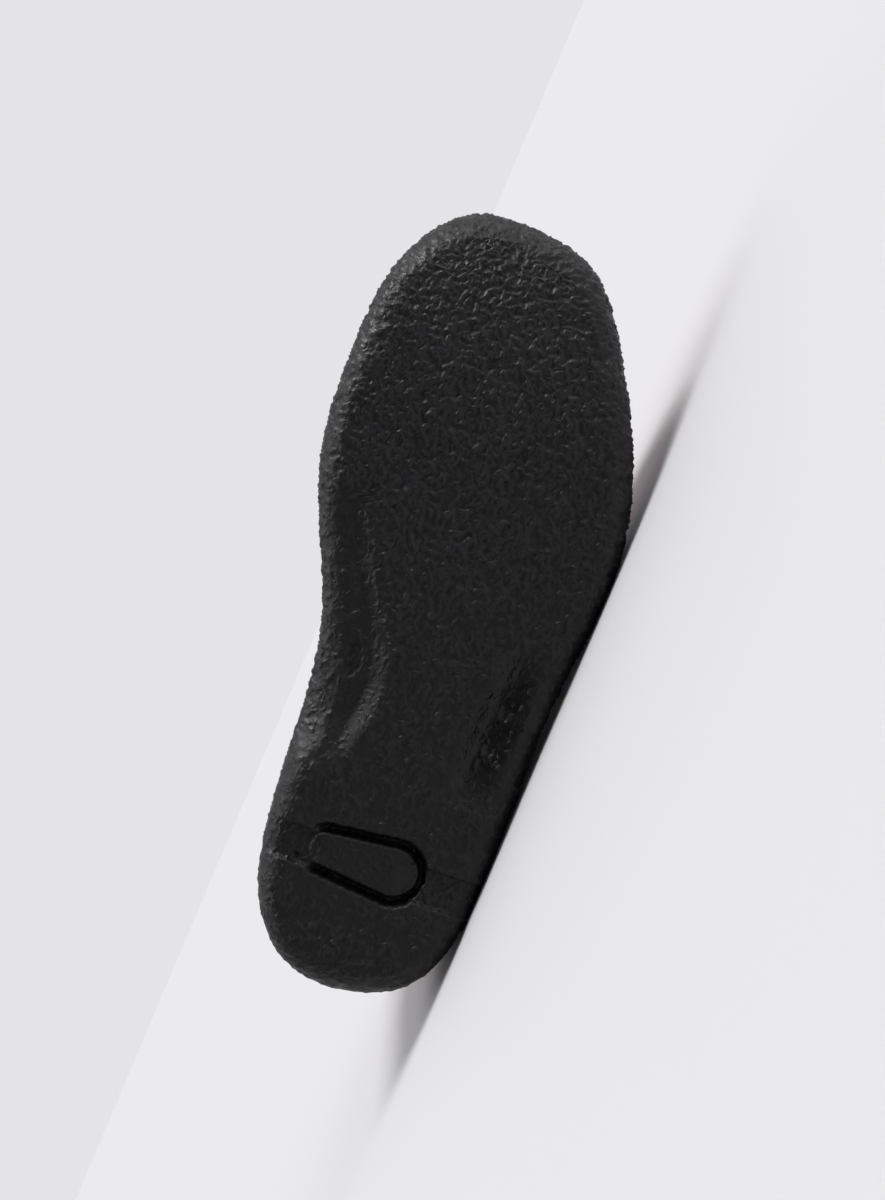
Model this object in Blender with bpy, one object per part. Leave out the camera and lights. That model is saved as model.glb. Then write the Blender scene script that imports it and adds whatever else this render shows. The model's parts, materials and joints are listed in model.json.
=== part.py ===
"""High-top lace-up shoe for the left foot, empty, laid on its outer side.

The pieces are modelled as the shoe stands: x runs from the heel to the toe, y to the outer
(lateral) side, and z up from the tread. One empty then carries them all to the lying pose,
in which the edge of the sole and the side of the upper touch the floor at z = 0.
All sizes are in metres.
"""

import math

import bmesh
import bpy
import numpy as np
from mathutils import Matrix, Vector

# Driving sizes
SOLE_LENGTH = 0.256
BALL_WIDTH = 0.1015
TOE_SPRING = 0.0125
SPRING_START = 0.70
HEEL_ROLL = 0.003
ROLL_END = 0.07
TOE_ROLL = 0.0035
TOE_ROLL_START = 0.92
EDGE_ROUND = 0.009
BEVEL_REAR = 0.068
BEVEL_FRONT = 0.122
BEVEL_REAR_FADE = 0.015
BEVEL_FRONT_FADE = 0.035
BEVEL_SHARE = 0.6
TOP_ROUND = 0.002
SIDE_LEAN = 0.0008
FEATHER_INSET = 0.0035
FIT_GAP = 0.0003

WALL = 0.0020
BAND_STEP = 0.0010
BAND_WIDTH = 0.0215
COLLAR_PAD = 0.0030
COLLAR_PAD_DEPTH = 0.020

INSOLE_THICKNESS = 0.0040
INSOLE_GAP = 0.0009
INSOLE_ROUND = 0.0015
INSOLE_EDGE_SHARE = 0.7
TONGUE_THICKNESS = 0.0030
TONGUE_GAP = 0.0005
TONGUE_LAP = 0.014
TONGUE_RISE = 0.014
TONGUE_END = 0.63
TONGUE_TAPER = 0.15

EYELET_PAIRS = 6
EYELET_FIRST = 0.21
EYELET_LAST = 0.585
EYELET_SETBACK = 0.0105
EYELET_FLANGE_RADIUS = 0.0042
EYELET_BORE_RADIUS = 0.0021
EYELET_BARREL_RADIUS = 0.0027
EYELET_FLANGE_HEIGHT = 0.0009
EYELET_FLANGE_CROWN = 0.85
EYELET_SEAT_GAP = 0.0004
EYELET_HOLE_GAP = 0.0004
EYELET_HOLE_REACH = 0.008

LACE_WIDTH = 0.0050
LACE_THICKNESS = 0.0020
LACE_LIFT = 0.0038
LACE_DIP = 0.0022
LACE_OVERRUN = 0.05

# Heel channel and oval pad on the underside
CHANNEL_DEPTH = 0.0020
CHANNEL_WIDTH = 0.0118
CHANNEL_CENTRE = 0.0427
CHANNEL_SLANT = math.radians(5.0)
CHANNEL_PAD_GAP = 0.001
MOAT_DEPTH = 0.0055
MOAT_WIDTH = 0.0043
PAD_SINK = 0.0004
PAD_MEDIAL_END = -0.0176
PAD_LATERAL_END = 0.0058
PAD_MEDIAL_RADIUS = 0.0050
PAD_LATERAL_RADIUS = 0.0074
PAD_ALONG = 0.0439
CUTTER_START = -0.01

# Where the shoe's weight centres as it stands, and how squarely the side it rests on faces outward
MASS_CENTRE = (0.118, 0.0, 0.036)
OUTWARD_FACING = 0.7

# Mesh density
SHARP_ANGLE = math.radians(35)
ROUND_ANGLES = (0, 25, 50, 70, 90)
TOP_ROUND_STEPS = ((0.0, 1.0), (0.3, 0.3), (1.0, 0.0))
SOLE_COLUMNS = 92
SOLE_CROSS = 16
SEAT_CROSS = 4
UPPER_COLUMNS = 76
UPPER_ROWS = 8
BAND_ROWS = 3
INSOLE_COLUMNS = 44
TONGUE_ROWS = 12
TONGUE_ACROSS = (1.0, 0.75, 0.5, 0.3, 0.1, -0.1, -0.3, -0.5, -0.75, -1.0)
PAD_ARC_POINTS = 9
EYELET_SIDES = 8
LACE_SIDES = 6
LACE_POINTS = 7
OUTLINE_SAMPLES = 1200
EYELET_LINE_SAMPLES = 200

# Outline of the sole from below, toe tip, round the outer side to the heel, back on the inner side.
# name, distance from the heel as a share of SOLE_LENGTH, distance out as a share of BALL_WIDTH
OUTLINE = (
    ("toe tip", 1.0018, -0.182),
    ("toe front", 1.0010, -0.036),
    ("outer toe corner", 0.9725, 0.180),
    ("little toe", 0.882, 0.336),
    ("outer forefoot", 0.770, 0.448),
    ("outer ball", 0.641, 0.509),
    ("outer joint", 0.556, 0.491),
    ("outer waist front", 0.474, 0.445),
    ("outer waist", 0.330, 0.386),
    ("outer heel", 0.156, 0.341),
    ("outer heel corner", 0.086, 0.296),
    ("outer heel turn", 0.030, 0.207),
    ("heel back", 0.000, -0.006),
    ("inner heel turn", 0.016, -0.186),
    ("inner heel corner", 0.057, -0.292),
    ("inner heel", 0.215, -0.368),
    ("inner waist", 0.352, -0.348),
    ("inner waist front", 0.469, -0.366),
    ("inner joint", 0.578, -0.449),
    ("inner ball", 0.693, -0.499),
    ("inner forefoot", 0.797, -0.478),
    ("big toe", 0.883, -0.438),
    ("inner toe corner", 0.9770, -0.292),
)
HEEL_ROW = 12

# Height of the sole's upper face, on which the upper and the insole sit.
# name, distance from the heel as a share of SOLE_LENGTH, height
SEAT = (
    ("heel", 0.00, 0.0325),
    ("heel seat", 0.18, 0.0310),
    ("waist", 0.40, 0.0262),
    ("ball", 0.64, 0.0212),
    ("toes", 0.82, 0.0215),
    ("toe tip", 1.00, 0.0285),
)

# Hollow along the inner waist: its steep wall and its depth at stations along the sole.
# distance from the heel, distance of the wall's top from the centre, depth
INNER_HOLLOW = (
    (0.071, -0.0210, 0.0000),
    (0.078, -0.0160, 0.0016),
    (0.086, -0.0137, 0.0036),
    (0.095, -0.0115, 0.0038),
    (0.105, -0.0113, 0.0031),
    (0.1215, -0.0155, 0.0026),
    (0.138, -0.0230, 0.0022),
    (0.152, -0.0275, 0.0013),
    (0.162, -0.0310, 0.0000),
)
INNER_HOLLOW_WALL = 0.0080

# Lens-shaped hollow along the outer waist
OUTER_HOLLOW_REAR = (0.0690, 0.0187)
OUTER_HOLLOW_FRONT = (0.1250, 0.0275)
OUTER_HOLLOW_WALL = 0.0060
OUTER_HOLLOW_WIDTH = 0.0170
OUTER_HOLLOW_DEPTH = 0.0036

# The upper, station by station from the toe tip to the heel back. Each row is one line over the
# last, from the feather edge up to the topline.
# share of the way round; topline: distance from the heel, half width, height;
# lower handle: rise, lean out; upper handle: reach out, drop
STATIONS = (
    ("toe tip", 0.000, 0.1600, 0.0000, 0.0760, 0.0250, 0.0035, 0.0620, 0.0150),
    ("toe corner", 0.110, 0.1588, 0.0036, 0.0763, 0.0235, 0.0035, 0.0480, 0.0130),
    ("little toe", 0.230, 0.1520, 0.0078, 0.0785, 0.0215, 0.0032, 0.0310, 0.0105),
    ("ball", 0.380, 0.1350, 0.0105, 0.0880, 0.0230, 0.0028, 0.0245, 0.0110),
    ("waist front", 0.500, 0.1140, 0.0130, 0.1040, 0.0260, 0.0010, 0.0200, 0.0190),
    ("ankle front", 0.595, 0.0970, 0.0155, 0.1260, 0.0330, 0.0000, 0.0165, 0.0300),
    ("collar corner", 0.655, 0.0850, 0.0225, 0.1360, 0.0340, 0.0005, 0.0110, 0.0350),
    ("collar front", 0.720, 0.0690, 0.0312, 0.1330, 0.0340, 0.0015, 0.0045, 0.0350),
    ("collar side", 0.800, 0.0480, 0.0340, 0.1285, 0.0330, 0.0030, 0.0000, 0.0340),
    ("collar rear", 0.900, 0.0215, 0.0255, 0.1280, 0.0310, 0.0045, -0.0030, 0.0360),
    ("heel back", 1.000, 0.0100, 0.0000, 0.1310, 0.0300, 0.0055, -0.0050, 0.0400),
)
# The throat leans to the inner side towards the toe.
THROAT_DRIFT = 0.0045
THROAT_DRIFT_END = 0.62
COLLAR_START = 0.595
COLLAR_FULL = 0.720

COLOURS = {
    "sole": ((0.0066, 0.0064, 0.0073), 0.54, 0.0),
    "upper": ((0.185, 0.010, 0.0135), 0.42, 0.0),
    "tongue": ((0.170, 0.0095, 0.013), 0.45, 0.0),
    "insole": ((0.50, 0.36, 0.24), 0.65, 0.0),
    "lace": ((0.145, 0.010, 0.013), 0.80, 0.0),
    "eyelet": ((0.10, 0.10, 0.11), 0.33, 0.9),
}


# Curves


def spline(knots, values, period=None):
    """A curve through values at knots, smooth in slope and bend, and closed where it has a period."""
    knots = np.asarray(knots, float)
    values = np.asarray(values, float).reshape(len(knots), -1)
    if period:
        knots = np.concatenate([knots - period, knots, knots + period])
        values = np.concatenate([values] * 3)
    gaps = np.diff(knots)
    slopes = np.diff(values, axis=0) / gaps[:, None]
    system = np.eye(len(knots))
    right = np.zeros_like(values)
    for i in range(1, len(knots) - 1):
        system[i, i - 1 : i + 2] = gaps[i - 1], 2 * (gaps[i - 1] + gaps[i]), gaps[i]
        right[i] = 6 * (slopes[i] - slopes[i - 1])
    bends = np.linalg.solve(system, right)

    def curve(at):
        at = np.asarray(at, float)
        if period:
            at = at % period
        i = np.clip(np.searchsorted(knots, at, side="right") - 1, 0, len(gaps) - 1)
        gap = gaps[i][..., None]
        past = (at - knots[i])[..., None]
        left = gap - past
        return (
            bends[i] * (left**3 / gap - gap * left) / 6
            + bends[i + 1] * (past**3 / gap - gap * past) / 6
            + (values[i] * left + values[i + 1] * past) / gap
        )

    return curve


def smooth_step(t):
    t = np.clip(t, 0.0, 1.0)
    return t * t * (3 - 2 * t)


def outline_samples():
    """Points round the sole, with their share of the way round: 0 toe tip, 0.5 heel back."""
    rows = np.array([(a * SOLE_LENGTH, b * BALL_WIDTH) for _, a, b in OUTLINE])
    chords = np.linalg.norm(np.roll(rows, -1, axis=0) - rows, axis=1)
    knots = np.concatenate([[0.0], np.cumsum(chords)])
    curve = spline(knots[:-1], rows, knots[-1])
    shares = []
    points = []
    for start, end, base in ((0.0, knots[HEEL_ROW], 0.0), (knots[HEEL_ROW], knots[-1], 0.5)):
        half = curve(np.linspace(start, end, OUTLINE_SAMPLES))
        steps = np.linalg.norm(np.diff(half, axis=0), axis=1)
        shares.append(base + 0.5 * np.concatenate([[0.0], np.cumsum(steps)]) / steps.sum())
        points.append(half)
    points[1] = points[1][1:]
    shares[1] = shares[1][1:]
    return np.concatenate(shares), np.concatenate(points)


OUTLINE_SHARES, OUTLINE_POINTS = outline_samples()
OUTLINE_WRAPPED = np.vstack([OUTLINE_POINTS[-2], OUTLINE_POINTS, OUTLINE_POINTS[1]])
OUTLINE_TANGENTS = np.gradient(OUTLINE_WRAPPED, axis=0)[1:-1]


def outline(u, inset=0.0):
    """Points of the sole's outline at shares u, moved in by inset, and their outward directions."""
    u = np.asarray(u, float) % 1.0
    point = np.stack([np.interp(u, OUTLINE_SHARES, OUTLINE_POINTS[:, i]) for i in (0, 1)], -1)
    along = np.stack([np.interp(u, OUTLINE_SHARES, OUTLINE_TANGENTS[:, i]) for i in (0, 1)], -1)
    along /= np.linalg.norm(along, axis=-1, keepdims=True)
    out = np.stack([along[..., 1], -along[..., 0]], -1)
    return point - out * np.asarray(inset)[..., None], out


seat_curve = spline([row[1] * SOLE_LENGTH for row in SEAT], [row[2] for row in SEAT])


def seat_height(x):
    return seat_curve(x)[..., 0]


def tread_height(x):
    """Height of the underside: flat from the heel to the ball, rolled up at the heel and the toe."""
    share = x / SOLE_LENGTH
    spring = np.clip((share - SPRING_START) / (1 - SPRING_START), 0, None)
    toe_roll = np.clip((share - TOE_ROLL_START) / (1 - TOE_ROLL_START), 0, None)
    heel_roll = np.clip((ROLL_END - share) / ROLL_END, 0, None)
    return TOE_SPRING * spring**2 + TOE_ROLL * toe_roll**2 + HEEL_ROLL * heel_roll**2


inner_hollow_curve = spline([row[0] for row in INNER_HOLLOW], [row[1:] for row in INNER_HOLLOW])


def inner_hollow(x, y):
    """How far the hollow on the inner side of the waist lifts the underside at (x, y)."""
    inside = (x > INNER_HOLLOW[0][0]) & (x < INNER_HOLLOW[-1][0])
    wall = inner_hollow_curve(np.clip(x, INNER_HOLLOW[0][0], INNER_HOLLOW[-1][0]))
    depth = np.where(inside, np.maximum(wall[..., 1], 0), 0)
    return depth * smooth_step((wall[..., 0] - y) / INNER_HOLLOW_WALL)


def outer_hollow(x, y):
    """How far the lens-shaped hollow on the outer side lifts it: steep within, gentle to the edge."""
    rear = np.array(OUTER_HOLLOW_REAR)
    axis = np.array(OUTER_HOLLOW_FRONT) - rear
    length = np.linalg.norm(axis)
    axis = axis / length
    along = ((x - rear[0]) * axis[0] + (y - rear[1]) * axis[1]) / length
    across = (y - rear[1]) * axis[0] - (x - rear[0]) * axis[1]
    steep = smooth_step(across / OUTER_HOLLOW_WALL + 1)
    gentle = smooth_step(1 - across / OUTER_HOLLOW_WIDTH)
    return OUTER_HOLLOW_DEPTH * np.sin(math.pi * np.clip(along, 0, 1)) * steep * gentle


def hollow_depth(x, y):
    """How far both waist hollows lift the underside at (x, y)."""
    return inner_hollow(x, y) + outer_hollow(x, y)


def edge_ring(u, angle):
    """The sole's lower edge, angle of the way round its turn: rounded, and bevelled at the inner waist.

    Returns places, heights over the floor and how much of the hollows' lift is kept there.
    """
    along = outline(u)[0][..., 0]
    rear = smooth_step((along - BEVEL_REAR) / BEVEL_REAR_FADE)
    front = smooth_step((BEVEL_FRONT - along) / BEVEL_FRONT_FADE)
    bevel = BEVEL_SHARE * rear * front * (u > 0.5)
    turned = 2 * angle / math.pi
    inset = EDGE_ROUND * ((1 - math.sin(angle)) * (1 - bevel) + (1 - turned) * bevel)
    rise = EDGE_ROUND * ((1 - math.cos(angle)) * (1 - bevel) + turned * bevel)
    kept = math.cos(angle) * (1 - bevel) + bevel
    spot, _ = outline(u, inset)
    return spot, tread_height(spot[:, 0]) + rise, kept


# The last: the upper's outer surface


def station_table():
    """The stations of both sides as one closed curve over the share u of the way round."""
    rows = []
    for side, order in ((1, STATIONS), (-1, STATIONS[-2:0:-1])):
        for _, share, along, half, height, rise, lean, reach, drop in order:
            u = share / 2 if side > 0 else 1 - share / 2
            drift = -THROAT_DRIFT * smooth_step(1 - share / THROAT_DRIFT_END)
            rows.append((u, along, side * half + drift, height, rise, lean, reach, drop))
    rows = np.array(rows)
    return spline(rows[:, 0], rows[:, 1:], 1.0)


stations = station_table()


def upper_surface(u, v):
    """Points of the upper at share u round the feather edge and share v of the way to the topline."""
    u, v = np.broadcast_arrays(np.asarray(u, float), np.asarray(v, float))
    foot, out = outline(u, FEATHER_INSET)
    start = np.concatenate([foot, (seat_height(foot[..., 0]) + FIT_GAP)[..., None]], -1)
    out = np.concatenate([out, np.zeros_like(u)[..., None]], -1)
    up = np.array([0.0, 0.0, 1.0])
    table = stations(u)
    top = table[..., :3]
    rise, lean, reach, drop = (table[..., i : i + 1] for i in range(3, 7))
    low = start + up * rise + out * lean
    high = top + out * reach - up * drop
    v = v[..., None]
    w = 1 - v
    return w**3 * start + 3 * w * w * v * low + 3 * w * v * v * high + v**3 * top


def normals_of(surface, a, b, step=1e-4):
    """Outward unit normals of surface(a, b) by small differences."""
    across = surface(a + step, b) - surface(a - step, b)
    along = surface(a, b + step) - surface(a, b - step)
    normal = np.cross(across, along)
    return normal / np.linalg.norm(normal, axis=-1, keepdims=True)


def band_share(u, width):
    """The v that lies width below the topline."""
    high = upper_surface(u, 1.0)
    low = upper_surface(u, 0.9)
    return 1 - 0.1 * width / np.linalg.norm(high - low, axis=-1)


def collar_share(u):
    """1 along the collar, 0 along the throat."""
    share = 1 - np.abs(2 * (np.asarray(u) % 1.0) - 1)
    return smooth_step((share - COLLAR_START) / (COLLAR_FULL - COLLAR_START))


def throat_surface(f, s):
    """The surface across the throat: f from -1 on the inner side to 1 on the outer, s up it.

    Past f = 0.5 and -0.5 it is the upper itself, down to TONGUE_LAP below the throat's edge.
    Between them it bridges the gap with the same slope.
    """
    f, s = np.broadcast_arrays(np.asarray(f, float), np.asarray(s, float))
    ends = []
    for side in (1, -1):
        u = s / 2 if side > 0 else 1 - s / 2
        edge = upper_surface(u, 1.0)
        slope = edge - upper_surface(u, 0.99)
        slope /= np.linalg.norm(slope, axis=-1, keepdims=True)
        lap = np.clip(side * f - 0.5, 0, None) * 2 * TONGUE_LAP
        ends.append((edge, slope, upper_surface(u, band_share(u, lap)), side * f > 0.5))
    outer_edge, outer_slope, outer_lap, on_outer = ends[0]
    inner_edge, inner_slope, inner_lap, on_inner = ends[1]
    gap = np.linalg.norm(outer_edge - inner_edge, axis=-1, keepdims=True)
    t = np.clip(0.5 - f, 0, 1)[..., None]
    bridge = (
        outer_edge * (2 * t**3 - 3 * t**2 + 1)
        + outer_slope * gap * (t**3 - 2 * t**2 + t)
        + inner_edge * (3 * t**2 - 2 * t**3)
        - inner_slope * gap * (t**3 - t**2)
    )
    return np.where(on_outer[..., None], outer_lap, np.where(on_inner[..., None], inner_lap, bridge))


# Meshes


def new_object(name, mesh, material):
    mesh.materials.append(material)
    mesh.shade_smooth()
    mesh.set_sharp_from_angle(angle=SHARP_ANGLE)
    obj = bpy.data.objects.new(name, mesh)
    bpy.context.scene.collection.objects.link(obj)
    return obj


def closed_mesh(name, points, faces):
    """One closed mesh from points and faces, with doubled points merged and faces turned out."""
    mesh = bpy.data.meshes.new(name)
    bm = bmesh.new()
    made = [bm.verts.new(p) for p in points]
    for face in faces:
        bm.faces.new([made[i] for i in face])
    bmesh.ops.remove_doubles(bm, verts=bm.verts, dist=1e-6)
    bmesh.ops.triangulate(bm, faces=bm.faces)
    bmesh.ops.recalc_face_normals(bm, faces=bm.faces)
    bm.to_mesh(mesh)
    bm.free()
    return mesh


def ring_faces(first, second, count, closed=True):
    """Quads between two rows of count points that start at first and second."""
    last = count if closed else count - 1
    return [
        (first + i, first + (i + 1) % count, second + (i + 1) % count, second + i)
        for i in range(last)
    ]


def cross_cap(ring, cross, height):
    """Points and faces that fill a ring whose first half lies opposite its second half.

    Each point of the first half is joined to the point as far round the other way, by a line
    of cross steps, and height(x, y) lifts the points between. Faces index the ring's own
    points as they are, and the new ones after them.
    """
    count = len(ring)
    half = count // 2
    points = []
    lines = []
    for i in range(half + 1):
        other = (count - i) % count
        if i == other:
            lines.append([i] * (cross + 1))
            continue
        line = [i]
        for j in range(1, cross):
            x, y = ring[i][:2] + (ring[other][:2] - ring[i][:2]) * j / cross
            line.append(count + len(points))
            points.append((x, y, height(x, y)))
        lines.append(line + [other])
    faces = []
    for here, there in zip(lines, lines[1:]):
        for j in range(cross):
            face = list(dict.fromkeys((here[j], here[j + 1], there[j + 1], there[j])))
            if len(face) > 2:
                faces.append(face)
    return points, faces


def stacked_solid(name, rings, low_cross, low_height, high_cross, high_height):
    """A solid from rings of equal count, from its underside up, with both ends filled."""
    count = len(rings[0])
    points = [tuple(p) for ring in rings for p in ring]
    faces = []
    for k in range(len(rings) - 1):
        faces += ring_faces(k * count, (k + 1) * count, count)
    for k, cross, height in ((0, low_cross, low_height), (len(rings) - 1, high_cross, high_height)):
        extra, cap = cross_cap(np.asarray(rings[k]), cross, height)
        base = len(points) - count
        faces += [[k * count + i if i < count else base + i for i in face] for face in cap]
        points += extra
    return closed_mesh(name, points, faces)


def prism(name, outline_points, low, high):
    """An upright prism on a closed outline of (x, y) points."""
    count = len(outline_points)
    points = [(x, y, z) for z in (low, high) for x, y in outline_points]
    faces = ring_faces(0, count, count)
    faces += [list(range(count)), list(range(count, 2 * count))]
    return closed_mesh(name, points, faces)


def cutter(name, mesh):
    obj = bpy.data.objects.new(name, mesh)
    bpy.context.scene.collection.objects.link(obj)
    obj.hide_render = True
    obj.display_type = "WIRE"
    return obj


def cut(obj, tool, operation="DIFFERENCE"):
    modifier = obj.modifiers.new(f"{operation.lower()}_{tool.name}", "BOOLEAN")
    modifier.operation = operation
    modifier.solver = "EXACT"
    modifier.object = tool


def material(name):
    colour, roughness, metallic = COLOURS[name]
    made = bpy.data.materials.new(name)
    made.use_nodes = True
    shader = made.node_tree.nodes["Principled BSDF"]
    shader.inputs["Base Color"].default_value = (*colour, 1.0)
    shader.inputs["Roughness"].default_value = roughness
    shader.inputs["Metallic"].default_value = metallic
    return made


# Pieces


def underside(x, y):
    return tread_height(x) + hollow_depth(x, y)


def pad_outline(grow):
    """The tapered oval pad, larger by grow: two end arcs joined by straight flanks."""
    points = []
    length = PAD_LATERAL_END - PAD_MEDIAL_END
    spread = math.asin((PAD_LATERAL_RADIUS - PAD_MEDIAL_RADIUS) / length)
    turn = Matrix.Rotation(CHANNEL_SLANT, 2)
    for end, radius, first, last in (
        (PAD_LATERAL_END, PAD_LATERAL_RADIUS, -spread, math.pi + spread),
        (PAD_MEDIAL_END, PAD_MEDIAL_RADIUS, math.pi + spread, 2 * math.pi - spread),
    ):
        for angle in np.linspace(first, last, PAD_ARC_POINTS):
            spot = Vector((math.cos(angle), math.sin(angle))) * (radius + grow)
            points.append(turn @ (spot + Vector((0.0, end))) + Vector((PAD_ALONG, 0.0)))
    return [tuple(p) for p in points]


def build_sole():
    u = np.arange(SOLE_COLUMNS) / SOLE_COLUMNS
    rings = []
    for angle in np.radians(ROUND_ANGLES):
        spot, height, kept = edge_ring(u, angle)
        lift = hollow_depth(spot[:, 0], spot[:, 1]) * kept
        rings.append(np.column_stack([spot, height + lift]))
    for inset, below in TOP_ROUND_STEPS:
        spot, _ = outline(u, SIDE_LEAN + inset * TOP_ROUND)
        rings.append(np.column_stack([spot, seat_height(spot[:, 0]) - below * TOP_ROUND]))
    mesh = stacked_solid("sole", rings, SOLE_CROSS, underside, SEAT_CROSS, lambda x, y: seat_height(x))
    sole = new_object("sole", mesh, material("sole"))

    loops = (pad_outline(MOAT_WIDTH), pad_outline(0.0))
    count = len(loops[0])
    points = [(*p, z) for z in (CUTTER_START, MOAT_DEPTH) for loop in loops for p in loop]
    faces = ring_faces(0, count, count) + ring_faces(2 * count, 3 * count, count)
    faces += ring_faces(0, 2 * count, count) + ring_faces(count, 3 * count, count)
    cut(sole, cutter("moat_cutter", closed_mesh("moat_cutter", points, faces)))
    sunk_pad = prism("pad_cutter", pad_outline(MOAT_WIDTH / 2), CUTTER_START, PAD_SINK)
    cut(sole, cutter("pad_cutter", sunk_pad))
    turn = Matrix.Rotation(CHANNEL_SLANT, 2)
    medial_start = PAD_MEDIAL_END - PAD_MEDIAL_RADIUS - MOAT_WIDTH / 2
    lateral_start = PAD_LATERAL_END + PAD_LATERAL_RADIUS + CHANNEL_PAD_GAP
    for side, start in (("inner", medial_start), ("outer", lateral_start)):
        end = math.copysign(BALL_WIDTH, start)
        corners = [(-CHANNEL_WIDTH / 2, start), (CHANNEL_WIDTH / 2, start)]
        corners += [(CHANNEL_WIDTH / 2, end), (-CHANNEL_WIDTH / 2, end)]
        spots = [turn @ Vector(c) + Vector((CHANNEL_CENTRE, 0.0)) for c in corners]
        name = f"channel_cutter_{side}"
        channel = prism(name, [tuple(p) for p in spots], CUTTER_START, CHANNEL_DEPTH)
        cut(sole, cutter(name, channel))
    return sole


def build_insole():
    u = np.arange(INSOLE_COLUMNS) / INSOLE_COLUMNS
    inset = FEATHER_INSET + WALL + INSOLE_GAP
    rings = []
    edge = INSOLE_THICKNESS * INSOLE_EDGE_SHARE
    for more, lift in ((0.0, FIT_GAP), (0.0, edge), (INSOLE_ROUND, INSOLE_THICKNESS)):
        spot, _ = outline(u, inset + more)
        rings.append(np.column_stack([spot, seat_height(spot[:, 0]) + lift]))
    mesh = stacked_solid(
        "insole",
        rings,
        SEAT_CROSS,
        lambda x, y: seat_height(x) + FIT_GAP,
        SEAT_CROSS,
        lambda x, y: seat_height(x) + INSOLE_THICKNESS,
    )
    new_object("insole", mesh, material("insole"))


def upper_rows(u):
    """The v of each row of the upper, and whether the row lies on the raised band."""
    edge = band_share(u, BAND_WIDTH)
    foot = band_share(u, BAND_WIDTH + BAND_STEP)
    rows = [(foot * k / UPPER_ROWS, False) for k in range(UPPER_ROWS + 1)]
    rows += [(edge + (1 - edge) * k / BAND_ROWS, True) for k in range(BAND_ROWS + 1)]
    return rows


def build_upper():
    u = np.arange(UPPER_COLUMNS) / UPPER_COLUMNS
    rings = []
    for v, raised in upper_rows(u):
        inner_v = np.minimum(v, 1 - 1e-3)
        normal = normals_of(upper_surface, u, np.clip(inner_v, 1e-3, None))
        rings.append(upper_surface(u, v) + normal * BAND_STEP * raised)
    for v, _ in reversed(upper_rows(u)):
        normal = normals_of(upper_surface, u, np.clip(v, 1e-3, 1 - 1e-3))
        below = (1 - v) / (1 - band_share(u, COLLAR_PAD_DEPTH))
        pad = COLLAR_PAD * collar_share(u) * np.sin(math.pi * np.clip(below, 0, 1)) ** 2
        rings.append(upper_surface(u, v) - normal * (WALL + pad)[:, None])
    count = UPPER_COLUMNS
    points = [tuple(p) for ring in rings for p in ring]
    faces = []
    for k in range(len(rings)):
        faces += ring_faces(k * count, (k + 1) % len(rings) * count, count)
    return new_object("upper", closed_mesh("upper", points, faces), material("upper"))


def build_tongue():
    rows = np.linspace(0.0, TONGUE_END, TONGUE_ROWS)
    across = np.array(TONGUE_ACROSS)
    between = np.abs(across) <= 0.5
    faces = []
    sheets = []
    for depth in (WALL + TONGUE_GAP, WALL + TONGUE_GAP + TONGUE_THICKNESS):
        sheet = []
        for s in rows:
            row = throat_surface(across, s)
            normal = normals_of(throat_surface, across, np.full_like(across, max(s, 2e-3)), 1e-3)
            sheet.append(row - normal * depth)
        sheet[0] = (sheet[0] + sheet[0][::-1]) / 2
        sheet[0][between] = sheet[0][between].mean(axis=0)
        top = sheet[-1]
        climb = top - sheet[-2]
        climb /= np.linalg.norm(climb, axis=-1, keepdims=True)
        for share in (0.5, 1.0):
            narrow = top.mean(axis=0) + (top - top.mean(axis=0)) * (1 - TONGUE_TAPER * share)
            sheet.append(narrow + climb.mean(axis=0) * TONGUE_RISE * share)
        sheets.append(np.array(sheet))
    rows_made, width = sheets[0].shape[:2]
    points = [tuple(p) for sheet in sheets for row in sheet for p in row]
    under = rows_made * width
    for r in range(rows_made - 1):
        faces += ring_faces(r * width, (r + 1) * width, width, closed=False)
        faces += ring_faces(under + r * width, under + (r + 1) * width, width, closed=False)
        for end in (0, width - 1):
            a, b = r * width + end, (r + 1) * width + end
            faces.append((a, b, under + b, under + a))
    faces += ring_faces((rows_made - 1) * width, under + (rows_made - 1) * width, width, closed=False)
    return new_object("tongue", closed_mesh("tongue", points, faces), material("tongue"))


def turned_ring(name, place, axis, profile):
    """A ring turned from a closed profile of (radius, height) points about axis at place."""
    frame = Vector(axis).to_track_quat("Z", "Y").to_matrix()
    points = []
    for radius, height in profile:
        for angle in np.arange(EYELET_SIDES) * 2 * math.pi / EYELET_SIDES:
            spot = Vector((radius * math.cos(angle), radius * math.sin(angle), height))
            points.append(Vector(place) + frame @ spot)
    faces = []
    for k in range(len(profile)):
        faces += ring_faces(k * EYELET_SIDES, (k + 1) % len(profile) * EYELET_SIDES, EYELET_SIDES)
    return closed_mesh(name, points, faces)


def eyelet_shares():
    """The share s of each eyelet pair, evenly spaced up the throat."""
    s = np.linspace(EYELET_FIRST, EYELET_LAST, EYELET_LINE_SAMPLES)
    line = upper_surface(s / 2, band_share(s / 2, EYELET_SETBACK))
    run = np.concatenate([[0.0], np.cumsum(np.linalg.norm(np.diff(line, axis=0), axis=1))])
    return np.interp(np.linspace(0, run[-1], EYELET_PAIRS), run, s)


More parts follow.
